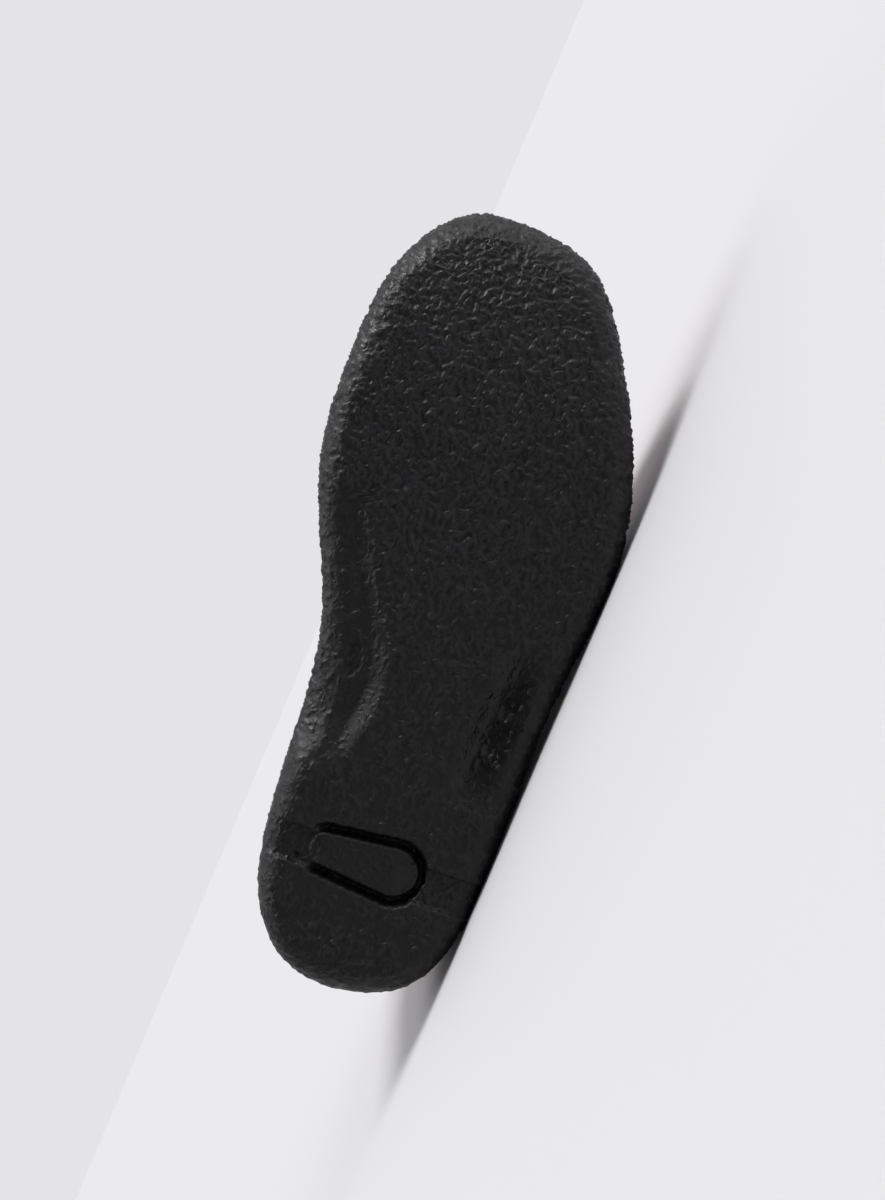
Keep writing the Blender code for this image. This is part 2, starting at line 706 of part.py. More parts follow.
def build_eyelets(upper):
    """The eyelets, and the holes for them in the band of the upper."""
    seat = BAND_STEP + EYELET_SEAT_GAP
    top = seat + EYELET_FLANGE_HEIGHT
    foot = FIT_GAP - WALL
    profile = (
        (EYELET_BORE_RADIUS, foot),
        (EYELET_BARREL_RADIUS, foot),
        (EYELET_BARREL_RADIUS, seat),
        (EYELET_FLANGE_RADIUS, seat),
        (EYELET_FLANGE_RADIUS * EYELET_FLANGE_CROWN, top),
        (EYELET_BORE_RADIUS, top),
    )
    hole_radius = EYELET_BARREL_RADIUS + EYELET_HOLE_GAP
    hole = (
        (0.0, -EYELET_HOLE_REACH),
        (hole_radius, -EYELET_HOLE_REACH),
        (hole_radius, EYELET_HOLE_REACH),
        (0.0, EYELET_HOLE_REACH),
    )
    holes = bpy.data.collections.new("eyelet_hole_cutters")
    metal = material("eyelet")
    for number, s in enumerate(eyelet_shares(), 1):
        for side, u in (("lateral", s / 2), ("medial", 1 - s / 2)):
            v = band_share(u, EYELET_SETBACK)
            place = upper_surface(u, v)
            normal = normals_of(upper_surface, u, v)
            name = f"eyelet_{side}_{number}"
            new_object(name, turned_ring(name, place, normal, profile), metal)
            drill = turned_ring("hole_cutter", place, normal, hole)
            holes.objects.link(cutter(f"hole_cutter_{side}_{number}", drill))
    modifier = upper.modifiers.new("eyelet_holes", "BOOLEAN")
    modifier.operation = "DIFFERENCE"
    modifier.solver = "EXACT"
    modifier.operand_type = "COLLECTION"
    modifier.collection = holes


def strand_mesh(name, from_f, from_s, to_f, to_s):
    """One run of lace over the throat from an eyelet to another."""
    t = np.linspace(-LACE_OVERRUN, 1 + LACE_OVERRUN, LACE_POINTS)
    f = from_f + (to_f - from_f) * t
    s = from_s + (to_s - from_s) * t
    normal = normals_of(throat_surface, f, s, 1e-3)
    lift = LACE_LIFT - LACE_DIP * smooth_step(1 - np.abs(f) / 0.5)
    path = throat_surface(f, s) + normal * lift[:, None]
    along = np.gradient(path, axis=0)
    along /= np.linalg.norm(along, axis=-1, keepdims=True)
    wide = np.cross(along, normal)
    wide /= np.linalg.norm(wide, axis=-1, keepdims=True)
    thick = np.cross(wide, along)
    points = []
    for k in range(LACE_POINTS):
        for angle in np.arange(LACE_SIDES) * 2 * math.pi / LACE_SIDES:
            across = wide[k] * LACE_WIDTH / 2 * math.cos(angle)
            points.append(tuple(path[k] + across + thick[k] * LACE_THICKNESS / 2 * math.sin(angle)))
    faces = []
    for k in range(LACE_POINTS - 1):
        faces += ring_faces(k * LACE_SIDES, (k + 1) * LACE_SIDES, LACE_SIDES)
    faces.append(list(range(LACE_SIDES)))
    faces.append(list(range((LACE_POINTS - 1) * LACE_SIDES, LACE_POINTS * LACE_SIDES)))
    return closed_mesh(name, points, faces)


def build_lace():
    """A bar across the lowest eyelets and a crossing between each pair and the next, as one solid."""
    shares = eyelet_shares()
    eye = 0.5 + 0.5 * EYELET_SETBACK / TONGUE_LAP
    lace = new_object("lace", strand_mesh("lace", eye, shares[0], -eye, shares[0]), material("lace"))
    for number, (low, high) in enumerate(zip(shares, shares[1:]), 1):
        for side, sign in (("lateral", 1), ("medial", -1)):
            name = f"strand_{side}_{number}"
            strand = cutter(name, strand_mesh(name, sign * eye, low, -sign * eye, high))
            cut(lace, strand, "UNION")


def lying_matrix(pieces):
    """The move that lays the pieces on the outer facet of their hull under the centre of mass."""
    bm = bmesh.new()
    for piece in pieces:
        for vertex in piece.data.vertices:
            bm.verts.new(vertex.co)
    hull = bmesh.ops.convex_hull(bm, input=bm.verts)["geom"]
    bm.normal_update()
    centre = Vector(MASS_CENTRE)
    down = None
    for face in hull:
        if not isinstance(face, bmesh.types.BMFace) or face.normal.y < OUTWARD_FACING:
            continue
        corners = [v.co for v in face.verts]
        edges = zip(corners, corners[1:] + corners[:1])
        if all((b - a).cross(centre - a).dot(face.normal) >= 0 for a, b in edges):
            down = face.normal.copy()
    bm.free()
    z = -down
    x = (Vector((1, 0, 0)) - z * z.x).normalized()
    turn = Matrix((x, z.cross(x), z))
    laid = np.array([turn @ v.co for piece in pieces for v in piece.data.vertices])
    low, high = laid.min(axis=0), laid.max(axis=0)
    shift = Vector((-(low[0] + high[0]) / 2, -(low[1] + high[1]) / 2, -low[2]))
    return Matrix.Translation(shift) @ turn.to_4x4()


def main():
    for obj in list(bpy.data.objects):
        bpy.data.objects.remove(obj)
    sole = build_sole()
    upper = build_upper()
    tongue = build_tongue()
    build_insole()
    build_eyelets(upper)
    build_lace()
    lying = lying_matrix([sole, upper, tongue])
    for obj in bpy.data.objects:
        obj.matrix_world = lying


main()
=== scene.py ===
"""Looks for the left high-top shoe that lies on its outer side: crepe sole, red leather upper, lace.

The surfaces are worked out as the shoe stands: x from the heel to the toe, y to the outer side,
z up from the tread. One move, found from the two mounts of the record, lays them on the floor.
"""

import json
import math

import bmesh
import bpy
import numpy as np
from mathutils import Matrix, Vector, noise
from mathutils.kdtree import KDTree


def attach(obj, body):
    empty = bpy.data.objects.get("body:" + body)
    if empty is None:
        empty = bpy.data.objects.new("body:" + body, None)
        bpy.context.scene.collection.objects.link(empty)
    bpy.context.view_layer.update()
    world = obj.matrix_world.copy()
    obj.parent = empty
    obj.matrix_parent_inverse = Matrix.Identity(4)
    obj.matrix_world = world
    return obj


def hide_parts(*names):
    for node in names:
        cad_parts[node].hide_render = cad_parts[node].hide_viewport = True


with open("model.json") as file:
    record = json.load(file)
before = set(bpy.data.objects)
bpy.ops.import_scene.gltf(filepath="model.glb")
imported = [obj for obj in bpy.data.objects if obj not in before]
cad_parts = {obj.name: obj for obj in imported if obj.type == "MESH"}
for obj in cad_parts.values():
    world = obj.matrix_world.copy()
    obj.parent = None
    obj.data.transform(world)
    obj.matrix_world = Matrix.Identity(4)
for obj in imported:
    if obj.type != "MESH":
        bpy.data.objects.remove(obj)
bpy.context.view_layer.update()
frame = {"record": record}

# Photograph
FRAME_HEIGHT_PX = 1200
FOCAL_PX = 2200
SENSOR_HEIGHT_MM = 36.0
CAMERA_NEAR = 0.01
TARGET = (0.1324, -0.0011, 0.0)
CAMERA_DISTANCE = 0.7013
TILT_TO_TOE = math.radians(3.0)
TILT_TO_INNER = math.radians(3.2)
TOE_LEAN = math.radians(14.62)

# Soft lights that rake over the tread: name, where from, strength, angle
LIGHTS = (
    ("overhead_key", (0.48, -0.13, 0.86), 3.2, math.radians(26)),
    ("toe_fill", (0.94, -0.13, 0.30), 1.1, math.radians(45)),
    ("heel_fill", (-0.25, -0.10, 0.96), 1.1, math.radians(45)),
)
STUDIO_FRONT = (0.052, 0.052, 0.055)
STUDIO_BACK = (0.78, 0.775, 0.79)
# The studio turns from front to back between these two, as the y of a direction.
STUDIO_TURN = (-0.8, 0.5)
FLOOR_PALE = (0.45, 0.447, 0.457)
FLOOR_MATT = 0.7
FLOOR_SIZE = 8.0

# Colours
CREPE = (0.0066, 0.0064, 0.0073)
LEATHER_RED = (0.185, 0.0100, 0.0135)
BAND_RED = (0.1702, 0.0092, 0.01242)
TONGUE_RED = (0.170, 0.0095, 0.0130)
LINING_TAN = (0.50, 0.36, 0.24)
SOCK_TAN = (0.525, 0.378, 0.252)
LACE_RED = (0.145, 0.010, 0.013)
EYELET_GREY = (0.10, 0.10, 0.11)
THREAD_RED = (0.11, 0.007, 0.010)

# Where the heel's tread mount is on the standing shoe
HEEL_MOUNT = (0.060, 0.0, 0.0)

# Sizes shared with the solids
SOLE_LENGTH = 0.256
BALL_WIDTH = 0.1015
TOE_SPRING = 0.0125
SPRING_START = 0.70
HEEL_ROLL = 0.003
ROLL_END = 0.07
TOE_ROLL = 0.0035
TOE_ROLL_START = 0.92
EDGE_ROUND = 0.009
BEVEL_REAR = 0.068
BEVEL_FRONT = 0.122
BEVEL_REAR_FADE = 0.015
BEVEL_FRONT_FADE = 0.035
BEVEL_SHARE = 0.6
TOP_ROUND = 0.002
SIDE_LEAN = 0.0008
FEATHER_INSET = 0.0035
FIT_GAP = 0.0003

WALL = 0.0020
BAND_STEP = 0.0010
BAND_WIDTH = 0.0215
COLLAR_PAD = 0.0030
COLLAR_PAD_DEPTH = 0.020

INSOLE_THICKNESS = 0.0040
INSOLE_GAP = 0.0009
TONGUE_THICKNESS = 0.0030
TONGUE_LAP = 0.014
TONGUE_RISE = 0.014
TONGUE_END = 0.63
TONGUE_TAPER = 0.15

EYELET_PAIRS = 6
EYELET_FIRST = 0.21
EYELET_LAST = 0.585
EYELET_SETBACK = 0.0105
EYELET_FLANGE_RADIUS = 0.0042
EYELET_BORE_RADIUS = 0.0021
EYELET_BARREL_RADIUS = 0.0027
EYELET_TOP = 0.0023

CHANNEL_DEPTH = 0.0020
CHANNEL_WIDTH = 0.0118
CHANNEL_CENTRE = 0.0427
CHANNEL_SLANT = math.radians(5.0)
MOAT_DEPTH = 0.0055
MOAT_WIDTH = 0.0043
PAD_SINK = 0.0004
PAD_MEDIAL_END = -0.0176
PAD_LATERAL_END = 0.0058
PAD_MEDIAL_RADIUS = 0.0050
PAD_LATERAL_RADIUS = 0.0074
PAD_ALONG = 0.0439

INNER_HOLLOW_WALL = 0.0080
OUTER_HOLLOW_REAR = (0.0690, 0.0187)
OUTER_HOLLOW_FRONT = (0.1250, 0.0275)
OUTER_HOLLOW_WALL = 0.0060
OUTER_HOLLOW_WIDTH = 0.0170
OUTER_HOLLOW_DEPTH = 0.0036

# Small marks in the tread: a bare oval in the inner hollow, a dimple by the heel channel and pits in
# the outer hollow
OVAL_PLACE = (0.1065, -0.0250)
OVAL_HALF_SIZE = (0.0062, 0.0044)
OVAL_DEPTH = 0.0009
OVAL_WALL = 0.16
DIMPLE_REACH = 1.2
# distance from the heel, distance out, radius, depth
DIMPLES = (
    (0.0405, -0.0262, 0.0021, 0.0008),
    (0.1160, 0.0288, 0.0016, 0.0006),
    (0.1015, 0.0280, 0.0022, 0.0007),
    (0.0890, 0.0258, 0.0020, 0.0007),
)

# Walls of the heel channel, the moat and the pad, softer and less even than in the solids
CHANNEL_WALL = 0.16
CHANNEL_START = 0.010
CHANNEL_FADE = 0.008
PAD_EDGE = 0.0004
PAD_RIM_HEIGHT = 0.0006
PAD_RIM_INSET = 0.0009
PAD_RIM_HALF_WIDTH = 0.0005
MOAT_INNER_EDGE = 0.0003
MOAT_WALL = 0.0021
MOAT_TIP_SHARE = 0.15
MOAT_TIP_START = 0.0055
MOAT_TIP_FADE = 0.006
MOAT_LUMP_SIZE = 0.0016
MOAT_JAGS = 0.0004
MOAT_ROUGH = 0.0018

# Crepe skin of the sole
SOLE_COLUMNS = 960
SOLE_CROSS = 136
SEAT_CROSS = 4
SIDE_RINGS = 10
ROUND_RINGS = 20
TOP_ROUND_ANGLES = np.radians((30, 60, 90))
WRINKLES = 9500
WRINKLE_SEED = 7
WRINKLE_HEIGHT = 0.0011
WRINKLE_HALF_LENGTH = (0.0009, 0.0023)
WRINKLE_HALF_WIDTH = (0.00050, 0.00080)
WRINKLE_BEND = 130
WRINKLE_TALL = (0.4, 1.0)
WRINKLE_MIDDLE = 0.20
COVER_POWER = 0.3
RIM_BOLD = -0.05
RIM_PULL = 2.0
TREAD_PULL = 0.4
TREAD_SLANT = math.radians(45)
HOLLOW_CALM = 0.95
HOLLOW_CALM_DEPTH = 0.0012
PAD_CALM_START = 0.8
SEAT_FADE = 0.0015
SUNK_GLOSS = 0.22
CHANNEL_SHINE = 0.4
LENS_GAIN = 2
RIDGE_GLOSS = 0.20
RIDGE_LEAST = 0.6
SWELL_HEIGHT = 0.00016
SWELL_SIZE = 0.007

# Leather pieces
UPPER_COLUMNS = 480
UPPER_SHARES = np.arange(UPPER_COLUMNS) / UPPER_COLUMNS
SHELL_ROWS = 84
SHELL_THICKNESS = 0.0012
LINING_GAP = 0.0001
LINING_ROWS = 60
HIDDEN_ROWS = 10
EDGE_DROP = 0.0014
BAND_GAP = 0.00003
BAND_ROLL_DROP = 0.0016
BAND_TURN_IN = 0.0062
BAND_ROWS = 10
BAND_FADE = 0.05
ROLL_STEPS = 10
# The band's rounded outer and inner edges: distance from the edge, share of the band's height
BAND_LIP = ((0.0, 0.4), (0.0003, 0.8), (0.0009, 1.0))
BAND_INNER_LIP = ((0.0007, 0.0), (0.0002, 0.3), (0.0, 0.7))
BAND_BACK_SHARES = (0.25, 0.5, 0.75)
TONGUE_ROWS = 96
TONGUE_COLUMNS = 56
TONGUE_START = 0.035
TONGUE_FREE_ROWS = 18
TONGUE_DEPTH = 0.0024
TONGUE_TUCK = 0.0021
TONGUE_TUCK_START = 0.15
TONGUE_TUCK_WIDTH = 0.35
TONGUE_CORNER = 0.0110
TONGUE_BEND_PASSES = 10
TONGUE_FLAT = 0.86
TONGUE_CROWN_WIDTH = 0.012
TONGUE_SEAM = 0.35
TONGUE_SEAM_INSET = 0.0040
TONGUE_SEAM_HALF_WIDTH = 0.0009
INSOLE_COLUMNS = 320
INSOLE_CROSS = 48
INSOLE_ROUND = 0.45
INSOLE_ROUND_ANGLES = np.radians((20, 40, 60, 80))
INSOLE_DISH = 0.0009

# Lace and eyelets
LACE_WIDTH = 0.0044
LACE_THICKNESS = 0.0011
LACE_SIDES = 20
LACE_STEP = 0.0007
LACE_SQUARENESS = 0.8
LACE_NARROWEST = 0.6
LACE_THICKENING = 0.9
BRAID_PITCH = 0.0011
EYELET_SIDES = 48
EYELET_CROWN = 0.45
EYELET_CROWN_ANGLES = np.radians((0, 20, 45, 70, 90))
EYELET_DIP = 0.4
EYELET_DIP_ANGLES = np.radians((60, 30, 0))
EYELET_HOLE_GAP = 0.0001
EYELET_HOLE_REACH = 0.008
EYELET_SHARP = math.radians(60)
CUT_SHARP = math.radians(50)

# Stitches
STITCH_LENGTH = 0.0024
STITCH_PITCH = 0.0031
STITCH_RADIUS = 0.00026
STITCH_RISE = 1.3
STITCH_SINK = 0.55
STITCH_TIP = 0.55
STITCH_RINGS = 7
STITCH_SIDES = 6
# distance below the topline
STITCH_ROWS = (BAND_WIDTH - 0.0022, BAND_WIDTH - 0.0048, 0.0042)

# Steps and samples of the curves and surfaces
OUTLINE_SAMPLES = 4000
EYELET_LINE_SAMPLES = 200
CREASE_SAMPLES = 240
STITCH_ROW_SAMPLES = 2000
SMALL_STEP = 1e-4
THROAT_STEP = 1e-3
EDGE_MARGIN = 1e-3
TOP_STRETCH = 0.1
SLOPE_STRETCH = 0.01
MERGE_DISTANCE = 1e-7

# Outline of the sole from below, toe tip, round the outer side to the heel, back on the inner side.
# name, distance from the heel as a share of SOLE_LENGTH, distance out as a share of BALL_WIDTH
OUTLINE = (
    ("toe tip", 1.0018, -0.182),
    ("toe front", 1.0010, -0.036),
    ("outer toe corner", 0.9725, 0.180),
    ("little toe", 0.882, 0.336),
    ("outer forefoot", 0.770, 0.448),
    ("outer ball", 0.641, 0.509),
    ("outer joint", 0.556, 0.491),
    ("outer waist front", 0.474, 0.445),
    ("outer waist", 0.330, 0.386),
    ("outer heel", 0.156, 0.341),
    ("outer heel corner", 0.086, 0.296),
    ("outer heel turn", 0.030, 0.207),
    ("heel back", 0.000, -0.006),
    ("inner heel turn", 0.016, -0.186),
    ("inner heel corner", 0.057, -0.292),
    ("inner heel", 0.215, -0.368),
    ("inner waist", 0.352, -0.348),
    ("inner waist front", 0.469, -0.366),
    ("inner joint", 0.578, -0.449),
    ("inner ball", 0.693, -0.499),
    ("inner forefoot", 0.797, -0.478),
    ("big toe", 0.883, -0.438),
    ("inner toe corner", 0.9770, -0.292),
)
HEEL_ROW = 12

# Height of the sole's upper face, on which the upper and the insole sit.
# name, distance from the heel as a share of SOLE_LENGTH, height
SEAT = (
    ("heel", 0.00, 0.0325),
    ("heel seat", 0.18, 0.0310),
    ("waist", 0.40, 0.0262),
    ("ball", 0.64, 0.0212),
    ("toes", 0.82, 0.0215),
    ("toe tip", 1.00, 0.0285),
)

# Hollow along the inner waist: its steep wall and its depth at stations along the sole.
# distance from the heel, distance of the wall's top from the centre, depth
INNER_HOLLOW = (
    (0.071, -0.0210, 0.0000),
    (0.078, -0.0160, 0.0016),
    (0.086, -0.0137, 0.0036),
    (0.095, -0.0115, 0.0038),
    (0.105, -0.0113, 0.0031),
    (0.1215, -0.0155, 0.0026),
    (0.138, -0.0230, 0.0022),
    (0.152, -0.0275, 0.0013),
    (0.162, -0.0310, 0.0000),
)

# The upper, station by station from the toe tip to the heel back. Each row is one line over the
# last, from the feather edge up to the topline.
# share of the way round; topline: distance from the heel, half width, height;
# lower handle: rise, lean out; upper handle: reach out, drop
STATIONS = (
    ("toe tip", 0.000, 0.1600, 0.0000, 0.0760, 0.0250, 0.0035, 0.0620, 0.0150),
    ("toe corner", 0.110, 0.1588, 0.0036, 0.0763, 0.0235, 0.0035, 0.0480, 0.0130),
    ("little toe", 0.230, 0.1520, 0.0078, 0.0785, 0.0215, 0.0032, 0.0310, 0.0105),
    ("ball", 0.380, 0.1350, 0.0105, 0.0880, 0.0230, 0.0028, 0.0245, 0.0110),
    ("waist front", 0.500, 0.1140, 0.0130, 0.1040, 0.0260, 0.0010, 0.0200, 0.0190),
    ("ankle front", 0.595, 0.0970, 0.0155, 0.1260, 0.0330, 0.0000, 0.0165, 0.0300),
    ("collar corner", 0.655, 0.0850, 0.0225, 0.1360, 0.0340, 0.0005, 0.0110, 0.0350),
    ("collar front", 0.720, 0.0690, 0.0312, 0.1330, 0.0340, 0.0015, 0.0045, 0.0350),
    ("collar side", 0.800, 0.0480, 0.0340, 0.1285, 0.0330, 0.0030, 0.0000, 0.0340),
    ("collar rear", 0.900, 0.0215, 0.0255, 0.1280, 0.0310, 0.0045, -0.0030, 0.0360),
    ("heel back", 1.000, 0.0100, 0.0000, 0.1310, 0.0300, 0.0055, -0.0050, 0.0400),
)
# The throat leans to the inner side towards the toe.
THROAT_DRIFT = 0.0045
THROAT_DRIFT_END = 0.62
COLLAR_START = 0.595
COLLAR_FULL = 0.720

# How thickly the crepe is wrinkled along the sole: distance from the heel, share
WRINKLE_ZONES = (
    (0.000, 0.26),
    (0.045, 0.22),
    (0.075, 0.30),
    (0.110, 0.38),
    (0.160, 0.75),
    (0.210, 1.00),
    (0.256, 1.00),
)
RIM_WRINKLE_ZONES = (
    (0.000, 0.30),
    (0.045, 0.42),
    (0.070, 0.90),
    (0.100, 1.00),
    (0.160, 0.90),
    (0.256, 1.00),
)

# Creases of the upper, each along points (share round, share up).
# name, points, half width, depth
CREASES = (
    ("vamp", ((0.165, 0.30), (0.12, 0.50), (0.0, 0.745), (-0.115, 0.48), (-0.15, 0.30)), 0.0030, 0.0008),
    ("outer joint", ((0.190, 0.34), (0.155, 0.52), (0.105, 0.67)), 0.0026, 0.0007),
    ("inner joint", ((-0.180, 0.34), (-0.145, 0.52), (-0.095, 0.67)), 0.0026, 0.0007),
    ("outer ankle", ((0.275, 0.62), (0.33, 0.57), (0.385, 0.56)), 0.0036, 0.0008),
    ("inner ankle", ((-0.275, 0.62), (-0.33, 0.57), (-0.385, 0.56)), 0.0036, 0.0008),
    ("outer arch", ((0.245, 0.47), (0.30, 0.43), (0.34, 0.43)), 0.0030, 0.0006),
    ("inner arch", ((-0.245, 0.47), (-0.30, 0.43), (-0.34, 0.43)), 0.0030, 0.0006),
)
# The leather bulges beside a crease: share of its depth, half widths from it
CREASE_BULGE = 0.45
CREASE_BULGE_PLACE = 2.0
# The back seam runs up the middle of the heel, as far forward as its end.
BACK_SEAM_HALF_WIDTH = 0.0006
BACK_SEAM_DEPTH = 0.0005
BACK_SEAM_END = 0.03

# One run of lace between eyelets, from one side of the throat to the other: place across the
# throat, share of the climb to the next pair, height over the upper, and how much of its width it
# keeps. In its middle it has two heights, where it passes on top and where it passes below. It ends
# as a run that starts inside does, the other way round.
EYE = 0.5 + 0.5 * EYELET_SETBACK / TONGUE_LAP
RUN_START_OUTSIDE = (
    (EYE, 0.00, 0.0006, 0.66),
    (EYE - 0.01, 0.00, 0.0024, 0.72),
    (EYE - 0.10, 0.03, 0.0034, 0.90),
    (EYE - 0.21, 0.08, 0.0031, 1.00),
    (0.53, 0.20, 0.0019, 1.00),
)
RUN_START_INSIDE = (
    (EYE, 0.00, -0.0012, 0.66),
    (EYE - 0.03, 0.00, -0.0031, 0.80),
    (EYE - 0.12, 0.04, -0.0039, 1.00),
    (0.58, 0.17, -0.0039, 1.00),
    (0.47, 0.23, -0.0031, 1.00),
)
RUN_MIDDLE = (
    (0.30, 0.34, 0.0012, -0.0002),
    (0.00, 0.50, 0.0009, -0.0006),
    (-0.30, 0.66, 0.0000, -0.0014),
)
LACE_END = (
    (EYE, 0.0, 0.0005, 0.66),
    (EYE, 0.0, 0.0020, 0.66),
)
BAR = (
    (0.00, 0.0, 0.0010, 1.00),
    (0.30, 0.0, 0.0013, 1.00),
    (0.53, 0.0, 0.0021, 1.00),
    (EYE - 0.21, 0.0, 0.0031, 1.00),
    (EYE - 0.10, 0.0, 0.0034, 0.90),
    (EYE - 0.01, 0.0, 0.0024, 0.72),
    (EYE, 0.0, 0.0006, 0.66),
)


# Curves


def spline(knots, values, period=None):
    """A curve through values at knots, smooth in slope and bend, and closed where it has a period."""
    knots = np.asarray(knots, float)
    values = np.asarray(values, float).reshape(len(knots), -1)
    if period:
        knots = np.concatenate([knots - period, knots, knots + period])
        values = np.concatenate([values] * 3)
    gaps = np.diff(knots)
    slopes = np.diff(values, axis=0) / gaps[:, None]
    system = np.eye(len(knots))
    right = np.zeros_like(values)
    for i in range(1, len(knots) - 1):
        system[i, i - 1 : i + 2] = gaps[i - 1], 2 * (gaps[i - 1] + gaps[i]), gaps[i]
        right[i] = 6 * (slopes[i] - slopes[i - 1])
    bends = np.linalg.solve(system, right)

    def curve(at):
        at = np.asarray(at, float)
        if period:
            at = at % period
        i = np.clip(np.searchsorted(knots, at, side="right") - 1, 0, len(gaps) - 1)
        gap = gaps[i][..., None]
        past = (at - knots[i])[..., None]
        left = gap - past
        return (
            bends[i] * (left**3 / gap - gap * left) / 6
            + bends[i + 1] * (past**3 / gap - gap * past) / 6
            + (values[i] * left + values[i + 1] * past) / gap
        )

    return curve


def smooth_step(t):
    t = np.clip(t, 0.0, 1.0)
    return t * t * (3 - 2 * t)


def unit(vectors):
    return vectors / np.linalg.norm(vectors, axis=-1, keepdims=True)


def run_lengths(path):
    """The distance along a path at each of its points."""
    return np.concatenate([[0.0], np.cumsum(np.linalg.norm(np.diff(path, axis=0), axis=1))])


def outline_samples():
    """Points round the sole, with their share of the way round: 0 toe tip, 0.5 heel back."""
    rows = np.array([(a * SOLE_LENGTH, b * BALL_WIDTH) for _, a, b in OUTLINE])
    chords = np.linalg.norm(np.roll(rows, -1, axis=0) - rows, axis=1)
    knots = np.concatenate([[0.0], np.cumsum(chords)])
    curve = spline(knots[:-1], rows, knots[-1])
    shares = []
    points = []
    for start, end, base in ((0.0, knots[HEEL_ROW], 0.0), (knots[HEEL_ROW], knots[-1], 0.5)):
        half = curve(np.linspace(start, end, OUTLINE_SAMPLES))
        run = run_lengths(half)
        shares.append(base + 0.5 * run / run[-1])
        points.append(half)
    points[1] = points[1][1:]
    shares[1] = shares[1][1:]
    return np.concatenate(shares), np.concatenate(points)


OUTLINE_SHARES, OUTLINE_POINTS = outline_samples()
OUTLINE_WRAPPED = np.vstack([OUTLINE_POINTS[-2], OUTLINE_POINTS, OUTLINE_POINTS[1]])
OUTLINE_TANGENTS = np.gradient(OUTLINE_WRAPPED, axis=0)[1:-1]


def outline(u, inset=0.0):
    """Points of the sole's outline at shares u, moved in by inset, and their outward directions."""
    u = np.asarray(u, float) % 1.0
    point = np.stack([np.interp(u, OUTLINE_SHARES, OUTLINE_POINTS[:, i]) for i in (0, 1)], -1)
    along = np.stack([np.interp(u, OUTLINE_SHARES, OUTLINE_TANGENTS[:, i]) for i in (0, 1)], -1)
    along = unit(along)
    out = np.stack([along[..., 1], -along[..., 0]], -1)
    return point - out * np.asarray(inset)[..., None], out


seat_curve = spline([row[1] * SOLE_LENGTH for row in SEAT], [row[2] for row in SEAT])


def seat_height(x):
    return seat_curve(x)[..., 0]


def tread_height(x):
    """Height of the underside: flat from the heel to the ball, rolled up at the heel and the toe."""
    share = x / SOLE_LENGTH
    spring = np.clip((share - SPRING_START) / (1 - SPRING_START), 0, None)
    toe_roll = np.clip((share - TOE_ROLL_START) / (1 - TOE_ROLL_START), 0, None)
    heel_roll = np.clip((ROLL_END - share) / ROLL_END, 0, None)
    return TOE_SPRING * spring**2 + TOE_ROLL * toe_roll**2 + HEEL_ROLL * heel_roll**2


inner_hollow_curve = spline([row[0] for row in INNER_HOLLOW], [row[1:] for row in INNER_HOLLOW])


def inner_hollow(x, y):
    """How far the hollow on the inner side of the waist lifts the underside at (x, y)."""
    inside = (x > INNER_HOLLOW[0][0]) & (x < INNER_HOLLOW[-1][0])
    wall = inner_hollow_curve(np.clip(x, INNER_HOLLOW[0][0], INNER_HOLLOW[-1][0]))
    depth = np.where(inside, np.maximum(wall[..., 1], 0), 0)
    return depth * smooth_step((wall[..., 0] - y) / INNER_HOLLOW_WALL)


def outer_hollow(x, y):
    """How far the lens-shaped hollow on the outer side lifts it: steep within, gentle to the edge."""
    rear = np.array(OUTER_HOLLOW_REAR)
    axis = np.array(OUTER_HOLLOW_FRONT) - rear
    length = np.linalg.norm(axis)
    axis = axis / length
    along = ((x - rear[0]) * axis[0] + (y - rear[1]) * axis[1]) / length
    across = (y - rear[1]) * axis[0] - (x - rear[0]) * axis[1]
    steep = smooth_step(across / OUTER_HOLLOW_WALL + 1)
    gentle = smooth_step(1 - across / OUTER_HOLLOW_WIDTH)
    return OUTER_HOLLOW_DEPTH * np.sin(math.pi * np.clip(along, 0, 1)) * steep * gentle


def hollow_depth(x, y):
    """How far both waist hollows lift the underside at (x, y)."""
    return inner_hollow(x, y) + outer_hollow(x, y)


def edge_ring(u, angle):
    """The sole's lower edge, angle of the way round its turn: rounded, and bevelled at the inner waist."""
    along = outline(u)[0][..., 0]
    rear = smooth_step((along - BEVEL_REAR) / BEVEL_REAR_FADE)
    front = smooth_step((BEVEL_FRONT - along) / BEVEL_FRONT_FADE)
    bevel = BEVEL_SHARE * rear * front * (u > 0.5)
    turned = 2 * angle / math.pi
    inset = EDGE_ROUND * ((1 - math.sin(angle)) * (1 - bevel) + (1 - turned) * bevel)
    rise = EDGE_ROUND * ((1 - math.cos(angle)) * (1 - bevel) + turned * bevel)
    kept = math.cos(angle) * (1 - bevel) + bevel
    spot, _ = outline(u, inset)
    return spot, tread_height(spot[:, 0]) + rise, kept


# The upper's outer surface


def station_table():
    """The stations of both sides as one closed curve over the share u of the way round."""
    rows = []
    for side, order in ((1, STATIONS), (-1, STATIONS[-2:0:-1])):
        for _, share, along, half, height, rise, lean, reach, drop in order:
            u = share / 2 if side > 0 else 1 - share / 2
            drift = -THROAT_DRIFT * smooth_step(1 - share / THROAT_DRIFT_END)
            rows.append((u, along, side * half + drift, height, rise, lean, reach, drop))
    rows = np.array(rows)
    return spline(rows[:, 0], rows[:, 1:], 1.0)


stations = station_table()


